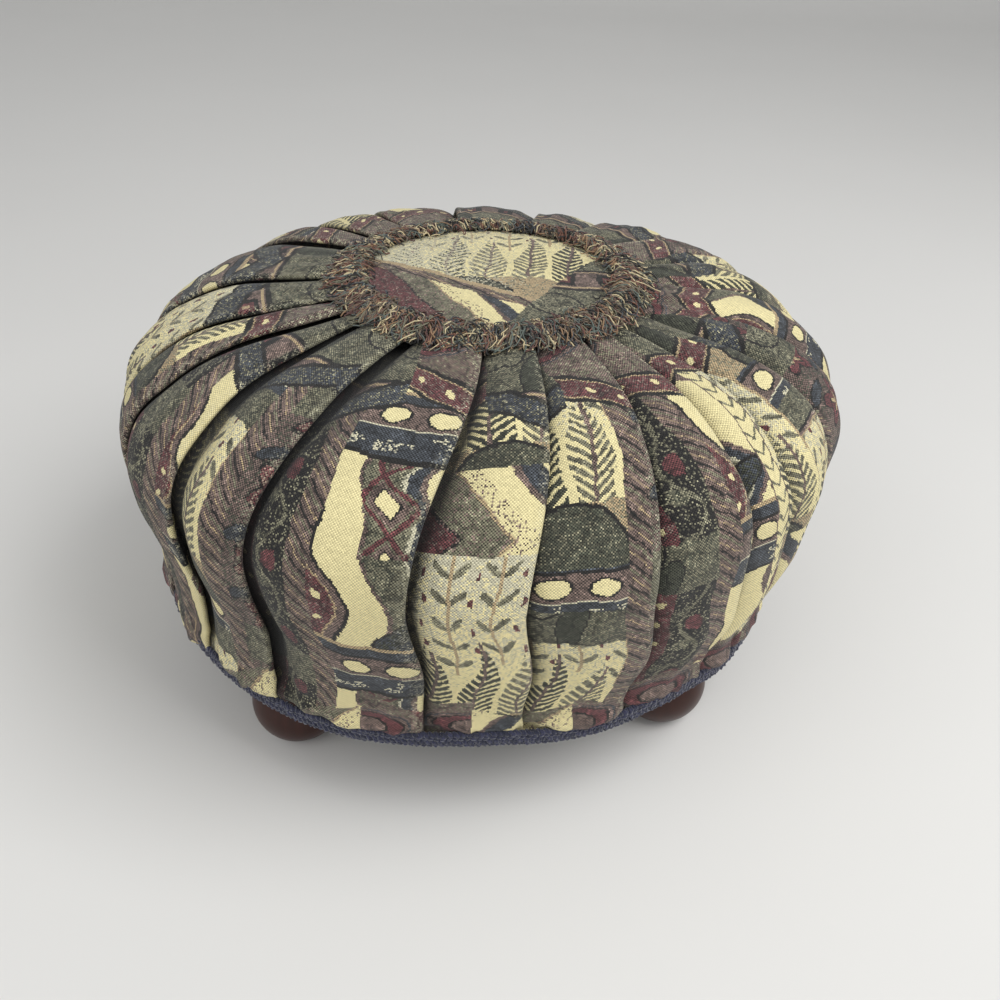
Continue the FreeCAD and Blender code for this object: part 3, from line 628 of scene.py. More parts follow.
def tapestry_material(yarns):
    """The cover's cloth: columns of motifs between ropes, with a crown band and figures at the hem."""
    cloth = Weave("tapestry", yarns)
    x, height = cloth.drawing_place()
    lane = x.cycle(yarns.repeat)
    y = height + (x - lane) * (83.0 / yarns.repeat)

    def column(middle, half, motif, rise=0.0):
        """A motif's mask and its colours, in its column of the repeat."""
        return lane.near(middle, half), motif(cloth, lane - middle, y + rise)

    column_mask, blocks = column(114.0, 36.0, framed_blocks, 14.0)
    block_mask = ((y + 8.0).wrap(150.0) > 48.0) * column_mask
    shape_mask, shapes = column(194.0, 32.0, waving_shapes)
    band = (y - 66.0).wrap(132.0)
    drop = (y - 60.0).wrap(160.0)
    ferns = fern_panel(cloth, lane - 266.0, drop)
    colour = cloth.layers(
        fern_column(cloth, lane - 33.0, y + 20.0),
        column(97.0, 19.0, flower_strip),
        column(122.0, 6.0, dotted_strip),
        column(139.0, 11.0, vine),
        (block_mask, blocks),
        (shape_mask, shapes),
        (shape_mask * (abs(band) < 20.0), oval_band(cloth, lane, band)),
        column(231.0, 5.0, leaf_chain),
        (lane > 236.0, cloth.blend(drop < -40.0, ferns, corner_wedges(cloth, lane - 268.0, y))),
        (lane.near(72.0, 6.0) + lane.near(156.0, 6.0), rope(cloth, lane, y)),
    )
    cell = 88.0
    across = x.wrap(cell)
    choice = cloth.cell_chance(x, 0.0, cell, 1.0)
    slope = height + abs(across) * 0.5
    edge = slope + choice * 22.0 - 11.0
    crown = edge - 222.0
    leaves = framed_blocks(cloth, x.wrap(46.0), height - 248.0)
    rings = hem_figures(cloth, x, height - 236.0)
    dots = dotted_strip(cloth, crown, x)
    wedges = corner_wedges(cloth, across, height)
    hollow = cloth.mark("hollow")
    # Pale flecks along the free folds: partly worn threads, partly a painted highlight on the fold's edge.
    fold_wear_and_highlight = cloth.mark("fold") * (cloth.chance > 0.62) * 0.32
    colour = cloth.layers(
        colour,
        (edge > 226.0, cloth.blend(choice < 0.45, leaves, rings)),
        (crown.near(0.0, 7.0), cloth.blend(choice > 0.6, dots, cloth.mixed(0.8, "slate", "olive"))),
        (abs(crown).near(8.0, 1.2), "charcoal"),
        (slope + choice * 20.0 < 50.0, cloth.blend(choice > 0.55, hem_figures(cloth, x, height), wedges)),
        (fold_wear_and_highlight, "pale"),
    )
    # Painted shade: the colour darkens with the square of how deep the cloth lies in a pleat's crease.
    return cloth.woven(cloth.dim(colour, 1.0 - hollow * hollow * 0.9))


def panel_material(yarns):
    """The round panel's cloth: misty ferns on cream, wedges below a slanting rope, and a block."""
    cloth = Weave("panel_tapestry", yarns)
    x, y = cloth.drawing_place()
    slope = y + x * 0.6
    mist = (cloth.chance + x * 0.012 < 0.25) * (cloth.chance < 0.8)
    return cloth.woven(cloth.layers(
        fern_panel(cloth, x + 22.0, y - 20.0),
        (mist, "pale"),
        (slope < -21.0, "tan"),
        (slope < -31.0, corner_wedges(cloth, x + 12.0, slope + 20.0)),
        (slope.near(-29.0, 4.0), rope(cloth, x, y)),
        (x - y * 0.6 > 44.0, framed_blocks(cloth, x - 40.0, y + 44.0)),
    ))


def fringe_material(yarns):
    """Loose threads: each takes one colour of the list, and is twisted, with its twist's shade and light
    painted in.
    """
    paint = Paint("fringe_yarn")
    colours = [
        (start, tuple(getattr(yarns, tone)) if isinstance(tone, str) else linear(*tone))
        for start, tone in FRINGE_YARNS
    ]
    ply = paint.noise(paint.place(), 900.0, 1.0)
    # Painted shade and light of the twist: each thread darkens where its ply bump dips and lightens where
    # it rises.
    colour = paint.dim(paint.steps(paint.mark("yarn"), *colours), ply * 0.7 + 0.62)
    normal = paint.bump(ply, 0.2 * MILLIMETRE, 0.5)
    return paint.finish(Base_Color=colour, Roughness=0.8, Normal=normal, Sheen_Weight=0.2)


def braid_material(trim):
    """Soft twisted yarn in two blues, one more than the other in each strand, with shade painted into the
    grooves of its twist.
    """
    paint = Paint("braid_yarn")
    along, around = paint.parts(paint.cloth())
    ply = (along * 900.0 + around * 3.0).math("FRACT")
    groove = abs(ply - 0.5) * 2.0
    fuzz = paint.noise(paint.place(), 700.0, 3.0)
    mix = (paint.mark("yarn") * 0.5 + fuzz * 0.9 - 0.25).math("MAXIMUM", 0.0).math("MINIMUM", 1.0)
    # Painted shade: the colour darkens towards the bottom of each groove of the twist, where its bump dips.
    colour = paint.dim(paint.blend(mix, trim.navy, trim.periwinkle), groove * 0.4 + 0.66)
    normal = paint.bump(groove + fuzz, 0.6 * MILLIMETRE, 0.7)
    return paint.finish(Base_Color=colour, Roughness=0.9, Normal=normal, Sheen_Weight=0.3)


def wood_material(name, light, dark, roughness, coat, stretch):
    """Grain drawn out where the stretch is small, under lacquer where coat is set."""
    paint = Paint(name)
    drawn = paint.vector("MULTIPLY", paint.place(), stretch)
    grain = paint.noise(drawn, 1.0, 4.0)
    pores = paint.noise(paint.vector("SCALE", drawn, scale=6.0), 1.0, 2.0)
    colour = paint.dim(paint.blend(grain, dark, light), pores * 0.3 + 0.85)
    normal = paint.bump(pores, 0.05 * MILLIMETRE, 0.3)
    return paint.finish(
        Base_Color=colour, Roughness=grain * 0.1 + roughness, Normal=normal, Coat_Weight=coat,
        Coat_Roughness=0.08, Specular_IOR_Level=0.3,
    )


def metal_material(name, colour, roughness):
    paint = Paint(name)
    spots = paint.noise(paint.place(), 400.0, 3.0)
    tone = paint.dim(colour, spots * 0.3 + 0.82)
    return paint.finish(Base_Color=tone, Metallic=1.0, Roughness=spots * 0.2 + roughness)


def fibre_material(name, colour, scale, depth):
    """Wadding, foam or felted cloth: a mottled colour over a fine uneven surface."""
    paint = Paint(name)
    fibres = paint.noise(paint.place(), scale, 4.0)
    tone = paint.dim(colour, fibres * 0.5 + 0.75)
    return paint.finish(Base_Color=tone, Roughness=0.95, Normal=paint.bump(fibres, depth))


def ground_material(colour):
    """The plain floor, faintly mottled."""
    paint = Paint("ground")
    tone = paint.dim(colour, paint.noise(paint.place(), 3.0, 2.0) * 0.04 + 0.98)
    return paint.finish(Base_Color=tone, Roughness=0.9)


def new_mesh(name, points, faces, material, uvs=None, marks=None):
    """A smooth mesh from lists, with cloth coordinates and named values at its points."""
    mesh = bpy.data.meshes.new(name)
    mesh.from_pydata(points, [], faces)
    mesh.shade_smooth()
    if uvs is not None:
        layer = mesh.uv_layers.new(name="cloth")
        layer.data.foreach_set("uv", np.asarray(uvs, np.float32).ravel())
    for mark, values in (marks or {}).items():
        attribute = mesh.attributes.new(mark, "FLOAT", "POINT")
        attribute.data.foreach_set("value", np.asarray(values, np.float32))
    mesh.materials.append(material)
    piece = bpy.data.objects.new(name, mesh)
    bpy.context.scene.collection.objects.link(piece)
    return piece


def grid_faces(rows, columns):
    """Quads between rows of points whose last column meets the first."""
    faces = []
    for row in range(rows - 1):
        low, high = row * columns, (row + 1) * columns
        for column in range(columns):
            after = (column + 1) % columns
            faces.append((low + column, low + after, high + after, high + column))
    return faces


def bearing_point(radius, share, height):
    angle = (share - 0.25) * FULL_TURN
    return Vector((radius * math.cos(angle), radius * math.sin(angle), height))


class Outline:
    """The drum's outline: four arcs, from the hem over the belly and the shoulder to the top."""

    def __init__(self, cover):
        self.cover = cover
        self.hem_height = COVER_LOW.z
        self.belly_height = self.hem_height + cover.belly_rise
        self.top_height = FRINGE_HIGH.z
        drop = cover.belly_radius - cover.hem_radius - cover.hem_swell
        self.side_curve = (cover.belly_rise**2 + drop**2) / (2 * drop)
        self.low_turn, self.high_turn = math.radians(45), math.radians(81)
        self.belly = cover.belly_radius
        self.low, self.high = cover.low_shoulder, cover.high_shoulder
        step = self.high - self.low
        self.high_middle = (
            self.belly - self.low - step * math.cos(self.low_turn),
            self.belly_height - step * math.sin(self.low_turn),
        )
        drop = self.high_middle[0] / math.cos(self.high_turn)
        self.crown = self.high + drop
        self.crown_middle = self.high_middle[1] - drop * math.sin(self.high_turn)
        self.panel_rise = PANEL_HIGH.z - self.crown_height(cover.ring_radius)

    def place(self, turn, inset=0.0):
        """Radius and height where the outward normal has this turn from the level."""
        if turn <= 0:
            middle, curve = (self.belly - self.side_curve, self.belly_height), self.side_curve
        elif turn <= self.low_turn:
            middle, curve = (self.belly - self.low, self.belly_height), self.low
        elif turn <= self.high_turn:
            middle, curve = self.high_middle, self.high
        else:
            middle, curve = (0.0, self.crown_middle), self.crown
        reach = curve - inset
        return middle[0] + reach * math.cos(turn), middle[1] + reach * math.sin(turn)

    def turn_at_height(self, height):
        return math.asin((height - self.belly_height) / self.side_curve)

    def turn_at_radius(self, radius):
        return math.acos(radius / self.crown)

    def crown_height(self, radius):
        return self.crown_middle + math.sqrt(self.crown**2 - radius**2)

    def settle(self, point):
        """The soft part has settled: fuller at the shoulder, lower at the back, and it leans."""
        cover = self.cover
        radius = max(math.hypot(point.x, point.y), MILLIMETRE)
        swell = table_value(FULLNESS, point.z) * MILLIMETRE * min(radius / self.belly * 1.4, 1.0)
        share = table_value([(BRAID_HIGH.z, 0.0), (self.top_height, 1.0)], point.z)
        top = table_value([(0.17, 0.0), (0.22, 1.0)], point.z)
        back = max(point.y - point.x * 0.3, 0.0) / self.belly
        bow = math.exp(-((point.z - cover.bow_height) / 0.025) ** 2) * cover.bow
        return point + Vector((
            point.x / radius * swell + cover.lean_x * share + bow,
            point.y / radius * swell + cover.lean_y * share,
            -back * top * cover.slump,
        ))


def evenly(points, gap):
    """Points at even steps along a line through given points, smoothed."""
    points = np.array(points, float)
    reach = np.concatenate([[0], np.cumsum(np.linalg.norm(np.diff(points, axis=0), axis=1))])
    count = int(reach[-1] / gap) + 1
    ticks = np.linspace(0, reach[-1], count)
    line = np.stack([np.interp(ticks, reach, points[:, i]) for i in range(2)], axis=1)
    for _ in range(3):
        line[1:-1] = (line[:-2] + 2 * line[1:-1] + line[2:]) / 4
    return line, ticks


def beside(table, radius, height):
    """A table's steps outwards and upwards in millimetres, as places beside a radius and height."""
    return [(radius + out * MILLIMETRE, height + up * MILLIMETRE) for out, up in table]


def cover_rows(cover, outline):
    """The cloth's line from under the hem up to the ring, with its outward normals and lengths."""
    first = outline.turn_at_height(outline.hem_height + cover.bulge_rise)
    last = outline.turn_at_radius(cover.ring_radius)
    points = beside(HEM_LINE, cover.hem_radius, outline.hem_height)
    points += [outline.place(turn) for turn in np.linspace(first, last, 90)]
    points += beside(RING_LINE, *points[-1])
    line, ticks = evenly(points, cover.row)
    along = np.gradient(line, axis=0)
    along /= np.linalg.norm(along, axis=1)[:, None]
    outward = np.stack([along[:, 1], -along[:, 0]], axis=1)
    return line, outward, ticks


def fold_bearings(cover, outline, radius, height):
    """Bearings of the free folds at a height: they swirl a little from the belly to the ring."""
    if height < outline.belly_height:
        swirl = HEM_SWIRL_SHARE * (outline.belly_height - height) / cover.belly_rise
    else:
        swirl = (outline.belly - radius) / (outline.belly - cover.ring_radius)
    return [a + (b - a) * swirl for a, b in zip(BELLY_FOLD_SHARES, RING_FOLD_SHARES)]


def pleat_spans(folds):
    """Where each pleat starts, at the free fold before its own, and where it ends."""
    return [(folds[-1] - 1.0, folds[0]), *zip(folds, folds[1:])]


def hem_sag(share):
    """How far the hem hangs below its even line at a bearing, with the small waves of its braid."""
    waves = noise.noise(bearing_point(5.0, share, 9.0)) * 1.8
    return (table_value(HEM_SAG, share, 1.0) + waves) * MILLIMETRE


def cloth_sag(share, height):
    """How far the cloth has sunk at a bearing and a height."""
    sag = hem_sag(share) + table_value(CLOTH_SAG, share, 1.0) * MILLIMETRE
    return sag * table_value(SAG_SHARES, height)


def pleat_columns(cover, depth, width, swell):
    """One pleat across: way along the cloth from its fold, way along the stool, drop, bend."""
    roll, bend = cover.roll * depth, min(cover.fold, cover.step * depth * 0.2)
    step = cover.step * depth * swell
    columns = []
    for way in (1.0, 0.55, 0.2):
        under = -width - cover.lap * way
        columns.append((under, under, step + 0.8 * MILLIMETRE * way, 0))
    for tick in range(18):
        share = (tick / 17) ** 1.35
        rise = max(0.0, 1 - share / CREST_SHARE) ** 1.8
        fall = roll * max(0.0, (share - CREST_SHARE) / (1 - CREST_SHARE)) ** 2
        wall = math.exp(-share * width / (cover.wall * swell))
        drop = step * (rise * (1 - WALL_SHARE) + wall * WALL_SHARE) + fall
        way = -width * (1 - share)
        columns.append((way, way, drop, max(0.0, 1 + way / (1.6 * MILLIMETRE))))
    for turn in (0.6, 1.2, 1.8, 2.5):
        way, drop = bend * math.sin(turn), roll + bend * (1 - math.cos(turn))
        columns.append((bend * turn, way, drop, 1.0))
    floor = roll + 2 * bend
    columns.append((6 * MILLIMETRE, -cover.lap * 0.5, floor + 0.3 * MILLIMETRE, 0))
    columns.append((10 * MILLIMETRE, -cover.lap * 1.05, (floor + step) / 2, 0))
    return columns


def pleat_sway(cover, index, length):
    """How far a pleat's free fold strays sideways at a length along the cloth."""
    return noise.noise(Vector((index * 5.7, length * 14.0, 1.3))) * cover.sway


def ruffle(cover, point, share, length, pleat):
    """How far the cloth stands out from its smooth line: stuffing, tension and gathers."""
    lumps = noise.noise(point * 11.0 + Vector((3.1, 0, 0))) * cover.lumps
    dents = noise.noise(point * 34.0 + Vector((0, 7.7, 0))) * cover.dents
    tense = noise.noise(Vector((share * 110.0, length * 12.0, pleat * 3.3))) * cover.tension
    over_braid = math.exp(-((length - 0.024) / 0.013) ** 2)
    gathers = noise.noise(Vector((share * 260.0, length * 16.0, 4.2))) * cover.gathers * over_braid
    return lumps + dents + tense + gathers


def make_cover(cover, material, outline):
    """The pleated cloth as one mesh, each pleat tucked under the free fold of the one before."""
    line, outward, ticks = cover_rows(cover, outline)
    spans = [pleat_spans(fold_bearings(cover, outline, *place)) for place in line]
    widest = int(np.argmax(line[:, 0]))
    used = [(end - start) * FULL_TURN * line[widest][0] + cover.spare for start, end in spans[widest]]
    offsets = np.cumsum(used)
    rooms = [(BOARD_HIGH.z, cover.hem_room), (BOARD_HIGH.z + 12 * MILLIMETRE, cover.room)]
    points, places, edges, painted_crease_shades = [], [], [], []
    for (radius, height), (out, up), length, pleats in zip(line, outward, ticks, spans):
        depth = table_value(DEPTH_SHARES, length / ticks[-1])
        room = table_value(rooms, height)
        around = FULL_TURN * radius
        for index, (start, end) in enumerate(pleats):
            sway = pleat_sway(cover, index, length)
            sway_before = pleat_sway(cover, (index - 1) % len(pleats), length)
            swell = 1.0 + 0.5 * noise.noise(Vector((index * 9.1, length * 10.0, 8.8)))
            swell *= OPEN_SHARES[index - 1]
            width = (end - start) * around + sway - sway_before
            for cloth, way, drop, edge in pleat_columns(cover, depth, width, swell):
                share = end + (sway + way) / around
                even = bearing_point(radius, share, height)
                stand = max(ruffle(cover, even, share, length, index) - drop, -room)
                sunk = height + up * stand - cloth_sag(share, height)
                points.append(outline.settle(bearing_point(radius + out * stand, share, sunk)))
                places.append((offsets[index] + cloth, length - 9 * MILLIMETRE))
                edges.append(edge)
                # How deep the cloth lies in its pleat's crease, kept to paint shade into the folds.
                painted_crease_shades.append(min(max(drop / cover.room, 0.0), 1.0))
    columns = len(points) // len(line)
    faces = grid_faces(len(line), columns)
    uvs = []
    for face in faces:
        seam = face[0] % columns > face[1] % columns
        for corner, point in enumerate(face):
            across, along = places[point]
            uvs.append((across + (offsets[-1] if seam and corner in (1, 2) else 0.0), along))
    marks = {"fold": edges, "hollow": painted_crease_shades}
    return new_mesh("cover_cloth", points, faces, material, uvs=uvs, marks=marks)


def disc_mesh(name, radius, rings, material, height_at, settle=lambda point: point):
    """A round sheet as rings of quads round a small closed middle, with flat cloth coordinates."""
    columns = 96
    even = [bearing_point(radius * ring, i / columns, 0.0) for ring in rings for i in range(columns)]
    even.append(Vector((0.0, 0.0, 0.0)))
    points = [settle(Vector((place.x, place.y, height_at(place)))) for place in even]
    faces = [tuple(reversed(face)) for face in grid_faces(len(rings), columns)]
    faces += [(column, (column + 1) % columns, len(points) - 1) for column in range(columns)]
    uvs = [(even[point].x, even[point].y) for face in faces for point in face]
    return new_mesh(name, points, faces, material, uvs=uvs)


def make_panel(cover, material, outline):
    """The round panel of cloth inside the fringe, gently crowned and not quite even."""
    radius = cover.ring_radius - 0.3 * MILLIMETRE

    def height_at(place):
        share = place.length / radius
        lumps = noise.noise(place * 30.0) * 1.2 * MILLIMETRE * (1 - share**4)
        return PANEL_HIGH.z - outline.panel_rise * share**2 + lumps

    return disc_mesh("panel_cloth", radius, np.linspace(0.03, 1.0, 30), material, height_at, outline.settle)


def make_dust_cover(material):
    """Black cloth under the base, a little slack between its staples."""
    radius = CLOTH_HIGH.x

    def height_at(place):
        share = place.length / radius
        slack = (1.2 + noise.noise(place * 14.0)) * MILLIMETRE
        return CLOTH_LOW.z + 0.2 * MILLIMETRE - slack * (1 - share**6)

    return disc_mesh("dust_cloth", radius, np.linspace(0.02, 1.0, 26), material, height_at)


def lathe(name, profile, material, outline, ripple):
    """A closed soft body turned round the axis, its surface a little uneven."""
    columns = 128
    points = []
    for radius, height in profile:
        for column in range(columns):
            place = bearing_point(radius, column / columns, height)
            place *= 1.0 + ripple * noise.noise(place * 40.0)
            place.z = height
            points.append(outline.settle(place))
    faces = grid_faces(len(profile), columns)
    last = (len(profile) - 1) * columns
    for column in range(columns):
        after = (column + 1) % columns
        faces.append((last + column, last + after, after, column))
    return new_mesh(name, points, faces, material)


def drum_profile(outline, inset, thickness=None):
    """Closed outline of a filling layer on the board: its outer line, and its inner one or the axis."""
    bottom, axis = BOARD_HIGH.z, 2 * MILLIMETRE

    def side(depth):
        first = outline.turn_at_height(bottom)
        turns = np.linspace(first, math.radians(89.2), 48)
        line = [outline.place(turn, depth) for turn in turns]
        return [(line[0][0], bottom)] + line[1:]

    outer = side(inset)
    if thickness is None:
        return outer + [(axis, outer[-1][1]), (axis, bottom)]
    return outer + side(inset + thickness)[::-1]


def pad_profile(cover, outline):
    """Closed outline of the round pad: its underside out from the axis, then its top back to it."""
    radii = np.linspace(2 * MILLIMETRE, cover.ring_radius - MILLIMETRE, 14)
    top, rise = PANEL_HIGH.z - 2.4 * MILLIMETRE, outline.panel_rise - MILLIMETRE
    low = [(r, outline.crown_height(r) - cover.pad_depth) for r in radii]
    return low + [(r, top - rise * (r / radii[-1]) ** 2) for r in radii[::-1]]


def tube(points, radius, sides, start):
    """Rings of points round a line, and the faces between them, closed at both ends."""
    rings, faces = [], []
    count = len(points)
    for index, point in enumerate(points):
        ahead = points[min(index + 1, count - 1)] - points[max(index - 1, 0)]
        ahead.normalize()
        across = ahead.cross(Vector((0.31, 0.17, 0.93)))
        across.normalize()
        up = ahead.cross(across)
        for side in range(sides):
            angle = FULL_TURN * side / sides
            rings.append(point + (across * math.cos(angle) + up * math.sin(angle)) * radius)
        if index:
            low = start + (index - 1) * sides
            for side in range(sides):
                after = (side + 1) % sides
                faces.append((low + side, low + after, low + sides + after, low + sides + side))
    faces.append(tuple(start + side for side in reversed(range(sides))))
    faces.append(tuple(start + (count - 1) * sides + side for side in range(sides)))
    return rings, faces


def fringe_thread(rng, share, lay, trim, outline):
    """One kinked thread: out of the tape and down on the pleats, or now and then inwards."""
    tape_middle, tape_rise = 70.5 * MILLIMETRE, 1.6 * MILLIMETRE
    inwards = rng.random() < 0.05
    reach = rng.uniform(trim.shortest, trim.longest) * (-0.4 if inwards else 1.0)
    root = TAPE_HIGH.x - rng.uniform(10.5, 3.5) * MILLIMETRE
    rise = rng.uniform(0.2, 3.8) * MILLIMETRE
    curl, phase = rng.uniform(0.5, 2.0) * MILLIMETRE, rng.uniform(0, FULL_TURN)
    turns = rng.uniform(0.6, 2.4) * FULL_TURN
    side = lay * abs(reach) + rng.gauss(0, trim.stray)
    points = []
    for tick in range(9):
        way = tick / 8
        radius = root + reach * way + curl * math.sin(turns * way + phase)
        drift = side * way**1.5 + curl * math.cos(turns * way + phase)
        over_tape = max(0.0, 1.0 - abs(radius - tape_middle) / (9 * MILLIMETRE)) * tape_rise
        height = outline.crown_height(radius) + 0.6 * MILLIMETRE + over_tape
        height += rise * math.sin(math.pi * min(way * 1.1, 1.0))
        height += rng.uniform(0.0, 1.4) * MILLIMETRE * way
        height += curl * 0.5 * math.sin(turns * way * 1.3)
        points.append(outline.settle(bearing_point(radius, share + drift / (FULL_TURN * radius), height)))
    return points


def make_fringe(trim, material, outline):
    """Bunches of short kinked threads all round the seam, each bunch with a yarn of its own."""
    rng = random.Random(11)
    points, faces, yarn = [], [], []
    for tuft in range(trim.tufts):
        middle = (tuft + rng.uniform(-0.4, 0.4)) / trim.tufts
        lay = rng.gauss(0, 0.6)
        favourite = rng.random()
        for _ in range(trim.threads):
            share = middle + rng.gauss(0, 0.4) / trim.tufts
            line = fringe_thread(rng, share, lay + rng.gauss(0, 0.25), trim, outline)
            rings, new_faces = tube(line, trim.thread_radius * rng.uniform(0.8, 1.2), 4, len(points))
            tone = favourite if rng.random() < 0.45 else rng.random()
            points += rings
            faces += new_faces
            yarn += [tone] * len(rings)
    return new_mesh("fringe_threads", points, faces, material, marks={"yarn": yarn})


def make_tape(cover, trim, material, outline):
    """The woven tape that holds the fringe, over the seam."""
    columns = 160
    rings = np.linspace(TAPE_HIGH.x - trim.tape_width, TAPE_HIGH.x, 6)
    seam = outline.crown_height(cover.ring_radius)
    points, flat = [], []
    for radius in rings:
        share = min(radius / cover.ring_radius, 1.0)
        height = seam + outline.panel_rise * (1 - share**2) + 1.1 * MILLIMETRE
        for column in range(columns):
            points.append(outline.settle(bearing_point(radius, column / columns, height)))
            flat.append((column / columns * FULL_TURN * cover.ring_radius, radius))
    faces = [tuple(reversed(face)) for face in grid_faces(len(rings), columns)]
    uvs = [flat[point] for face in faces for point in face]
    return new_mesh("fringe_tape", points, faces, material, uvs=uvs)


def braid_line(trim, strand, ticks):
    """Middle line of one strand: it crosses from edge to edge, over and under the others."""
    middle_radius = BRAID_HIGH.x - trim.strand_radius * 1.5
    middle_height = BRAID_LOW.z + trim.braid_width / 2
    reach = trim.braid_width / 2 - trim.strand_radius
    points = []
    for tick in range(ticks):
        share = tick / ticks
        phase = share * trim.plaits * FULL_TURN + strand * FULL_TURN / trim.strands
        depth = trim.strand_radius * 0.55 * math.sin((trim.strands - 1) * phase)
        stray = noise.noise(bearing_point(60.0, share, strand * 5.0)) * 0.7 * MILLIMETRE
        height = middle_height + reach * math.sin(phase) + stray - hem_sag(share)
        points.append(bearing_point(middle_radius + depth + stray, share, height))
    return points


def make_braid(trim, material):
    """Soft strands plaited flat round the hem."""
    sides, ticks = 7, trim.plaits * 18
    points, faces, uvs, yarn = [], [], [], []
    for strand in range(trim.strands):
        line = braid_line(trim, strand, ticks)
        start = len(points)
        for index, point in enumerate(line):
            ahead = (line[(index + 1) % ticks] - line[index - 1]).normalized()
            out = Vector((point.x, point.y, 0.0)).normalized()
            across = ahead.cross(out).normalized()
            out = across.cross(ahead)
            for side in range(sides):
                angle = FULL_TURN * side / sides
                wide = across * math.cos(angle) * 1.1 + out * math.sin(angle) * 0.9
                nap = 1.0 + 0.4 * noise.noise(point * 700.0 + wide)
                points.append(point + wide * trim.strand_radius * nap)
                yarn.append(strand / (trim.strands - 1))
        for index in range(ticks):
            low, high = start + index * sides, start + (index + 1) % ticks * sides
            near, far = index * MILLIMETRE, (index + 1) * MILLIMETRE
            for side in range(sides):
                after = (side + 1) % sides
                faces.append((low + side, high + side, high + after, low + after))
                left, right = side / sides, (side + 1) / sides
                uvs += [(near, left), (far, left), (far, right), (near, right)]
    return new_mesh("braid_strands", points, faces, material, uvs=uvs, marks={"yarn": yarn})


def dress(piece, node, slot):
    """Puts a piece in the place of a node of the frame, which it hides. The slot is not used."""
    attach(piece, "root")
    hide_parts(node)


class FOOTSTOOL_OT_cover(bpy.types.Operator):
    """Make the pleated cover and the round panel"""

    bl_idname = "footstool.cover"
    bl_label = "Cover and panel"

    def execute(self, context):
        cover, yarns = context.scene.footstool_cover, context.scene.footstool_tapestry
        outline = Outline(cover)
        cloth = make_cover(cover, tapestry_material(yarns), outline)
        dress(cloth, "pleated_cover", "tapestry")
        panel = make_panel(cover, panel_material(yarns), outline)
        dress(panel, "centre_panel", "panel_tapestry")
        return {"FINISHED"}


class FOOTSTOOL_OT_filling(bpy.types.Operator):
    """Make the foam, the wadding and the pad inside the cover"""

    bl_idname = "footstool.filling"
    bl_label = "Filling"

    def execute(self, context):
        cover = context.scene.footstool_cover
        outline = Outline(cover)
        wadding = fibre_material("wadding", linear(236, 236, 232), 260.0, 0.8 * MILLIMETRE)
        foam = fibre_material("foam", linear(233, 226, 200), 900.0, 0.3 * MILLIMETRE)
        drum = drum_profile(outline, cover.foam_depth)
        wrap = drum_profile(outline, cover.wadding_depth, cover.wadding)
        pad = pad_profile(cover, outline)
        for name, profile, material, ripple, node, slot in (
            ("foam_drum", drum, foam, 0.002, "foam_core", "foam"),
            ("wadding_layer", wrap, wadding, 0.001, "wadding_wrap", "wadding"),
            ("panel_wadding", pad, wadding, 0.001, "panel_pad", "wadding"),
        ):
            piece = lathe(name, profile, material, outline, ripple)
            dress(piece, node, slot)
        return {"FINISHED"}


class FOOTSTOOL_OT_fringe(bpy.types.Operator):
    """Make the fringe and its tape"""

    bl_idname = "footstool.fringe"
    bl_label = "Fringe"

    def execute(self, context):
        cover, trim = context.scene.footstool_cover, context.scene.footstool_trim
        yarns = context.scene.footstool_tapestry
        outline = Outline(cover)
        dress(make_fringe(trim, fringe_material(yarns), outline), "fringe", "fringe_yarn")
        felt = fibre_material("header_tape", yarns.charcoal, 1500.0, 0.2 * MILLIMETRE)
        tape = make_tape(cover, trim, felt, outline)
        dress(tape, "fringe_header", "header_tape")
        return {"FINISHED"}


class FOOTSTOOL_OT_braid(bpy.types.Operator):
    """Make the braid along the hem"""

    bl_idname = "footstool.braid"
    bl_label = "Braid"

    def execute(self, context):
        trim = context.scene.footstool_trim
        dress(make_braid(trim, braid_material(trim)), "hem_braid", "braid_yarn")
        return {"FINISHED"}


class FOOTSTOOL_OT_dust_cover(bpy.types.Operator):
    """Make the black cloth under the base"""

    bl_idname = "footstool.dust_cover"
    bl_label = "Dust cover"

    def execute(self, context):
        cambric = fibre_material("cambric", linear(30, 30, 31), 1800.0, 0.1 * MILLIMETRE)
        cloth = make_dust_cover(cambric)
        dress(cloth, "dust_cover", "cambric")
        return {"FINISHED"}


class FOOTSTOOL_OT_hard_parts(bpy.types.Operator):
    """Give the feet, the base board and the metal parts their finishes"""

    bl_idname = "footstool.hard_parts"
    bl_label = "Feet, board and metal"

    def execute(self, context):
        turned, flat = (260.0, 260.0, 22.0), (30.0, 260.0, 400.0)
        stain = linear(67, 31, 22), linear(38, 17, 12)
        birch = linear(206, 172, 122), linear(168, 130, 84)
        finishes = {
            "foot_": wood_material("foot_wood", *stain, 0.3, 0.06, turned),
            "base_board": wood_material("plywood", *birch, 0.6, 0.0, flat),
            "hanger_bolt_": metal_material("zinc_steel", linear(200, 202, 204), 0.3),
            "t_nut_": metal_material("zinc_plate", linear(204, 202, 190), 0.32),
            "cover_staples": metal_material("staple_steel", linear(188, 188, 190), 0.28),
            "dust_cover_staples": metal_material("staple_wire", linear(190, 190, 192), 0.3),
        }
        for name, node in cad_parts.items():
            for start, material in finishes.items():
                if name.startswith(start):
                    node.data.materials.clear()
                    node.data.materials.append(material)
        return {"FINISHED"}


class FOOTSTOOL_OT_stage(bpy.types.Operator):
    """Make the floor, the lights and the camera"""

    bl_idname = "footstool.stage"
    bl_label = "Stage"

    def execute(self, context):
        stage = context.scene.footstool_stage
        make_ground(stage)
        make_lights()
        make_camera(stage)
        context.scene.view_settings.view_transform = "Standard"
        return {"FINISHED"}


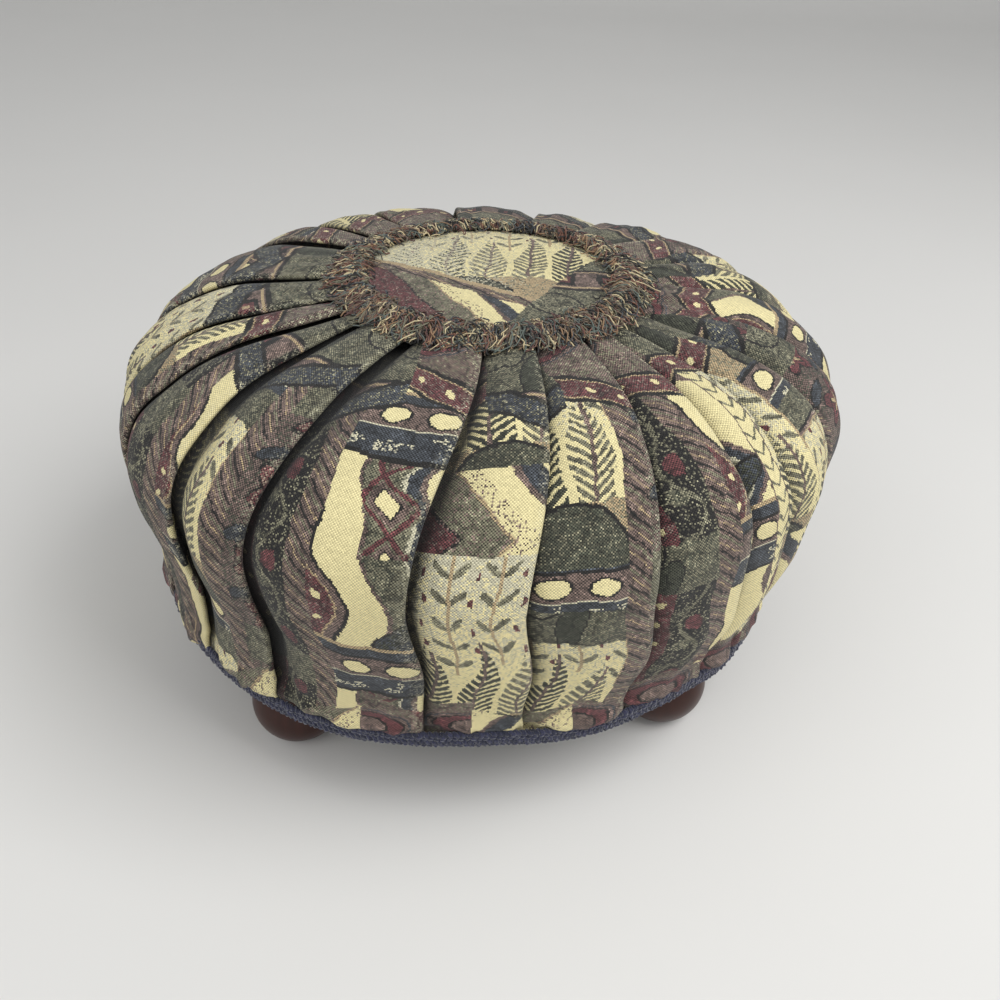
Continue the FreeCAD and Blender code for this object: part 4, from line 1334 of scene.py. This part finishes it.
def make_ground(stage):
    """A wide floor that curves up behind the stool."""
    front, depth, bend, width, rise = -6.0, 2.2, 0.9, 8.0, 5.0
    turns = np.linspace(0.0, math.pi / 2, 17)
    line = [(front, 0.0)]
    line += [(depth + bend * math.sin(turn), bend * (1 - math.cos(turn))) for turn in turns]
    line.append((depth + bend, rise))
    points = [Vector((side, y, z)) for y, z in line for side in (-width, width)]
    faces = [(2 * i, 2 * i + 1, 2 * i + 3, 2 * i + 2) for i in range(len(line) - 1)]
    new_mesh("ground", points, faces, ground_material(stage.floor))


def make_lights():
    """Soft daylight from all round, a broad lamp from the upper right and a weaker one at the left."""
    world = bpy.data.worlds.new("studio")
    world.use_nodes = True
    background = world.node_tree.nodes["Background"]
    background.inputs["Color"].default_value = (0.97, 0.98, 1.0, 1.0)
    background.inputs["Strength"].default_value = 0.52
    bpy.context.scene.world = world
    middle = Vector((0, 0, 0.12))
    lamps = [("key", (0.9, -0.5, 1.5), 1.1, 20.0), ("fill", (-1.1, -1.1, 1.2), 1.4, 8.0)]
    for name, place, size, power in lamps:
        data = bpy.data.lights.new(name, "AREA")
        data.size = size
        data.energy = power
        lamp = bpy.data.objects.new(name, data)
        lamp.location = place
        lamp.rotation_mode = "QUATERNION"
        lamp.rotation_quaternion = (middle - Vector(place)).to_track_quat("-Z", "Y")
        bpy.context.scene.collection.objects.link(lamp)


def make_camera(stage):
    data = bpy.data.cameras.new("camera")
    data.sensor_width = 36.0
    data.lens = data.sensor_width * stage.focal
    ahead = Vector((
        math.sin(stage.yaw) * math.cos(stage.pitch),
        math.cos(stage.yaw) * math.cos(stage.pitch),
        -math.sin(stage.pitch),
    ))
    level = Vector((math.cos(stage.yaw), -math.sin(stage.yaw), 0.0))
    upright = level.cross(ahead)
    right = level * math.cos(stage.roll) + upright * math.sin(stage.roll)
    up = upright * math.cos(stage.roll) - level * math.sin(stage.roll)
    turned = Matrix((right, up, -ahead)).transposed().to_4x4()
    camera = bpy.data.objects.new("camera", data)
    camera.matrix_world = Matrix.Translation((0.0, -stage.distance, stage.height)) @ turned
    bpy.context.scene.collection.objects.link(camera)
    bpy.context.scene.camera = camera


OPERATORS = [
    FOOTSTOOL_OT_cover, FOOTSTOOL_OT_filling, FOOTSTOOL_OT_fringe, FOOTSTOOL_OT_braid,
    FOOTSTOOL_OT_dust_cover, FOOTSTOOL_OT_hard_parts, FOOTSTOOL_OT_stage,
]
GROUPS = {
    "footstool_cover": FootstoolCover,
    "footstool_tapestry": FootstoolTapestry,
    "footstool_trim": FootstoolTrim,
    "footstool_stage": FootstoolStage,
}


class FOOTSTOOL_PT_panel(bpy.types.Panel):
    """Sizes, colours and the steps that make the stool"""

    bl_idname = "FOOTSTOOL_PT_panel"
    bl_label = "Footstool"
    bl_space_type = "VIEW_3D"
    bl_region_type = "UI"
    bl_category = "Footstool"

    def draw(self, context):
        for operator in OPERATORS:
            self.layout.operator(operator.bl_idname)
        for name, group in GROUPS.items():
            box = self.layout.box()
            box.label(text=group.__doc__)
            for key in group.__annotations__:
                box.prop(getattr(context.scene, name), key)


def register():
    for group in GROUPS.values():
        bpy.utils.register_class(group)
    for name, group in GROUPS.items():
        setattr(bpy.types.Scene, name, PointerProperty(type=group))
    for operator in OPERATORS:
        bpy.utils.register_class(operator)
    bpy.utils.register_class(FOOTSTOOL_PT_panel)


def unregister():
    bpy.utils.unregister_class(FOOTSTOOL_PT_panel)
    for operator in reversed(OPERATORS):
        bpy.utils.unregister_class(operator)
    for name, group in GROUPS.items():
        delattr(bpy.types.Scene, name)
        bpy.utils.unregister_class(group)


def main():
    register()
    for operator in OPERATORS:
        group, name = operator.bl_idname.split(".")
        getattr(getattr(bpy.ops, group), name)()


if __name__ == "__main__":
    main()
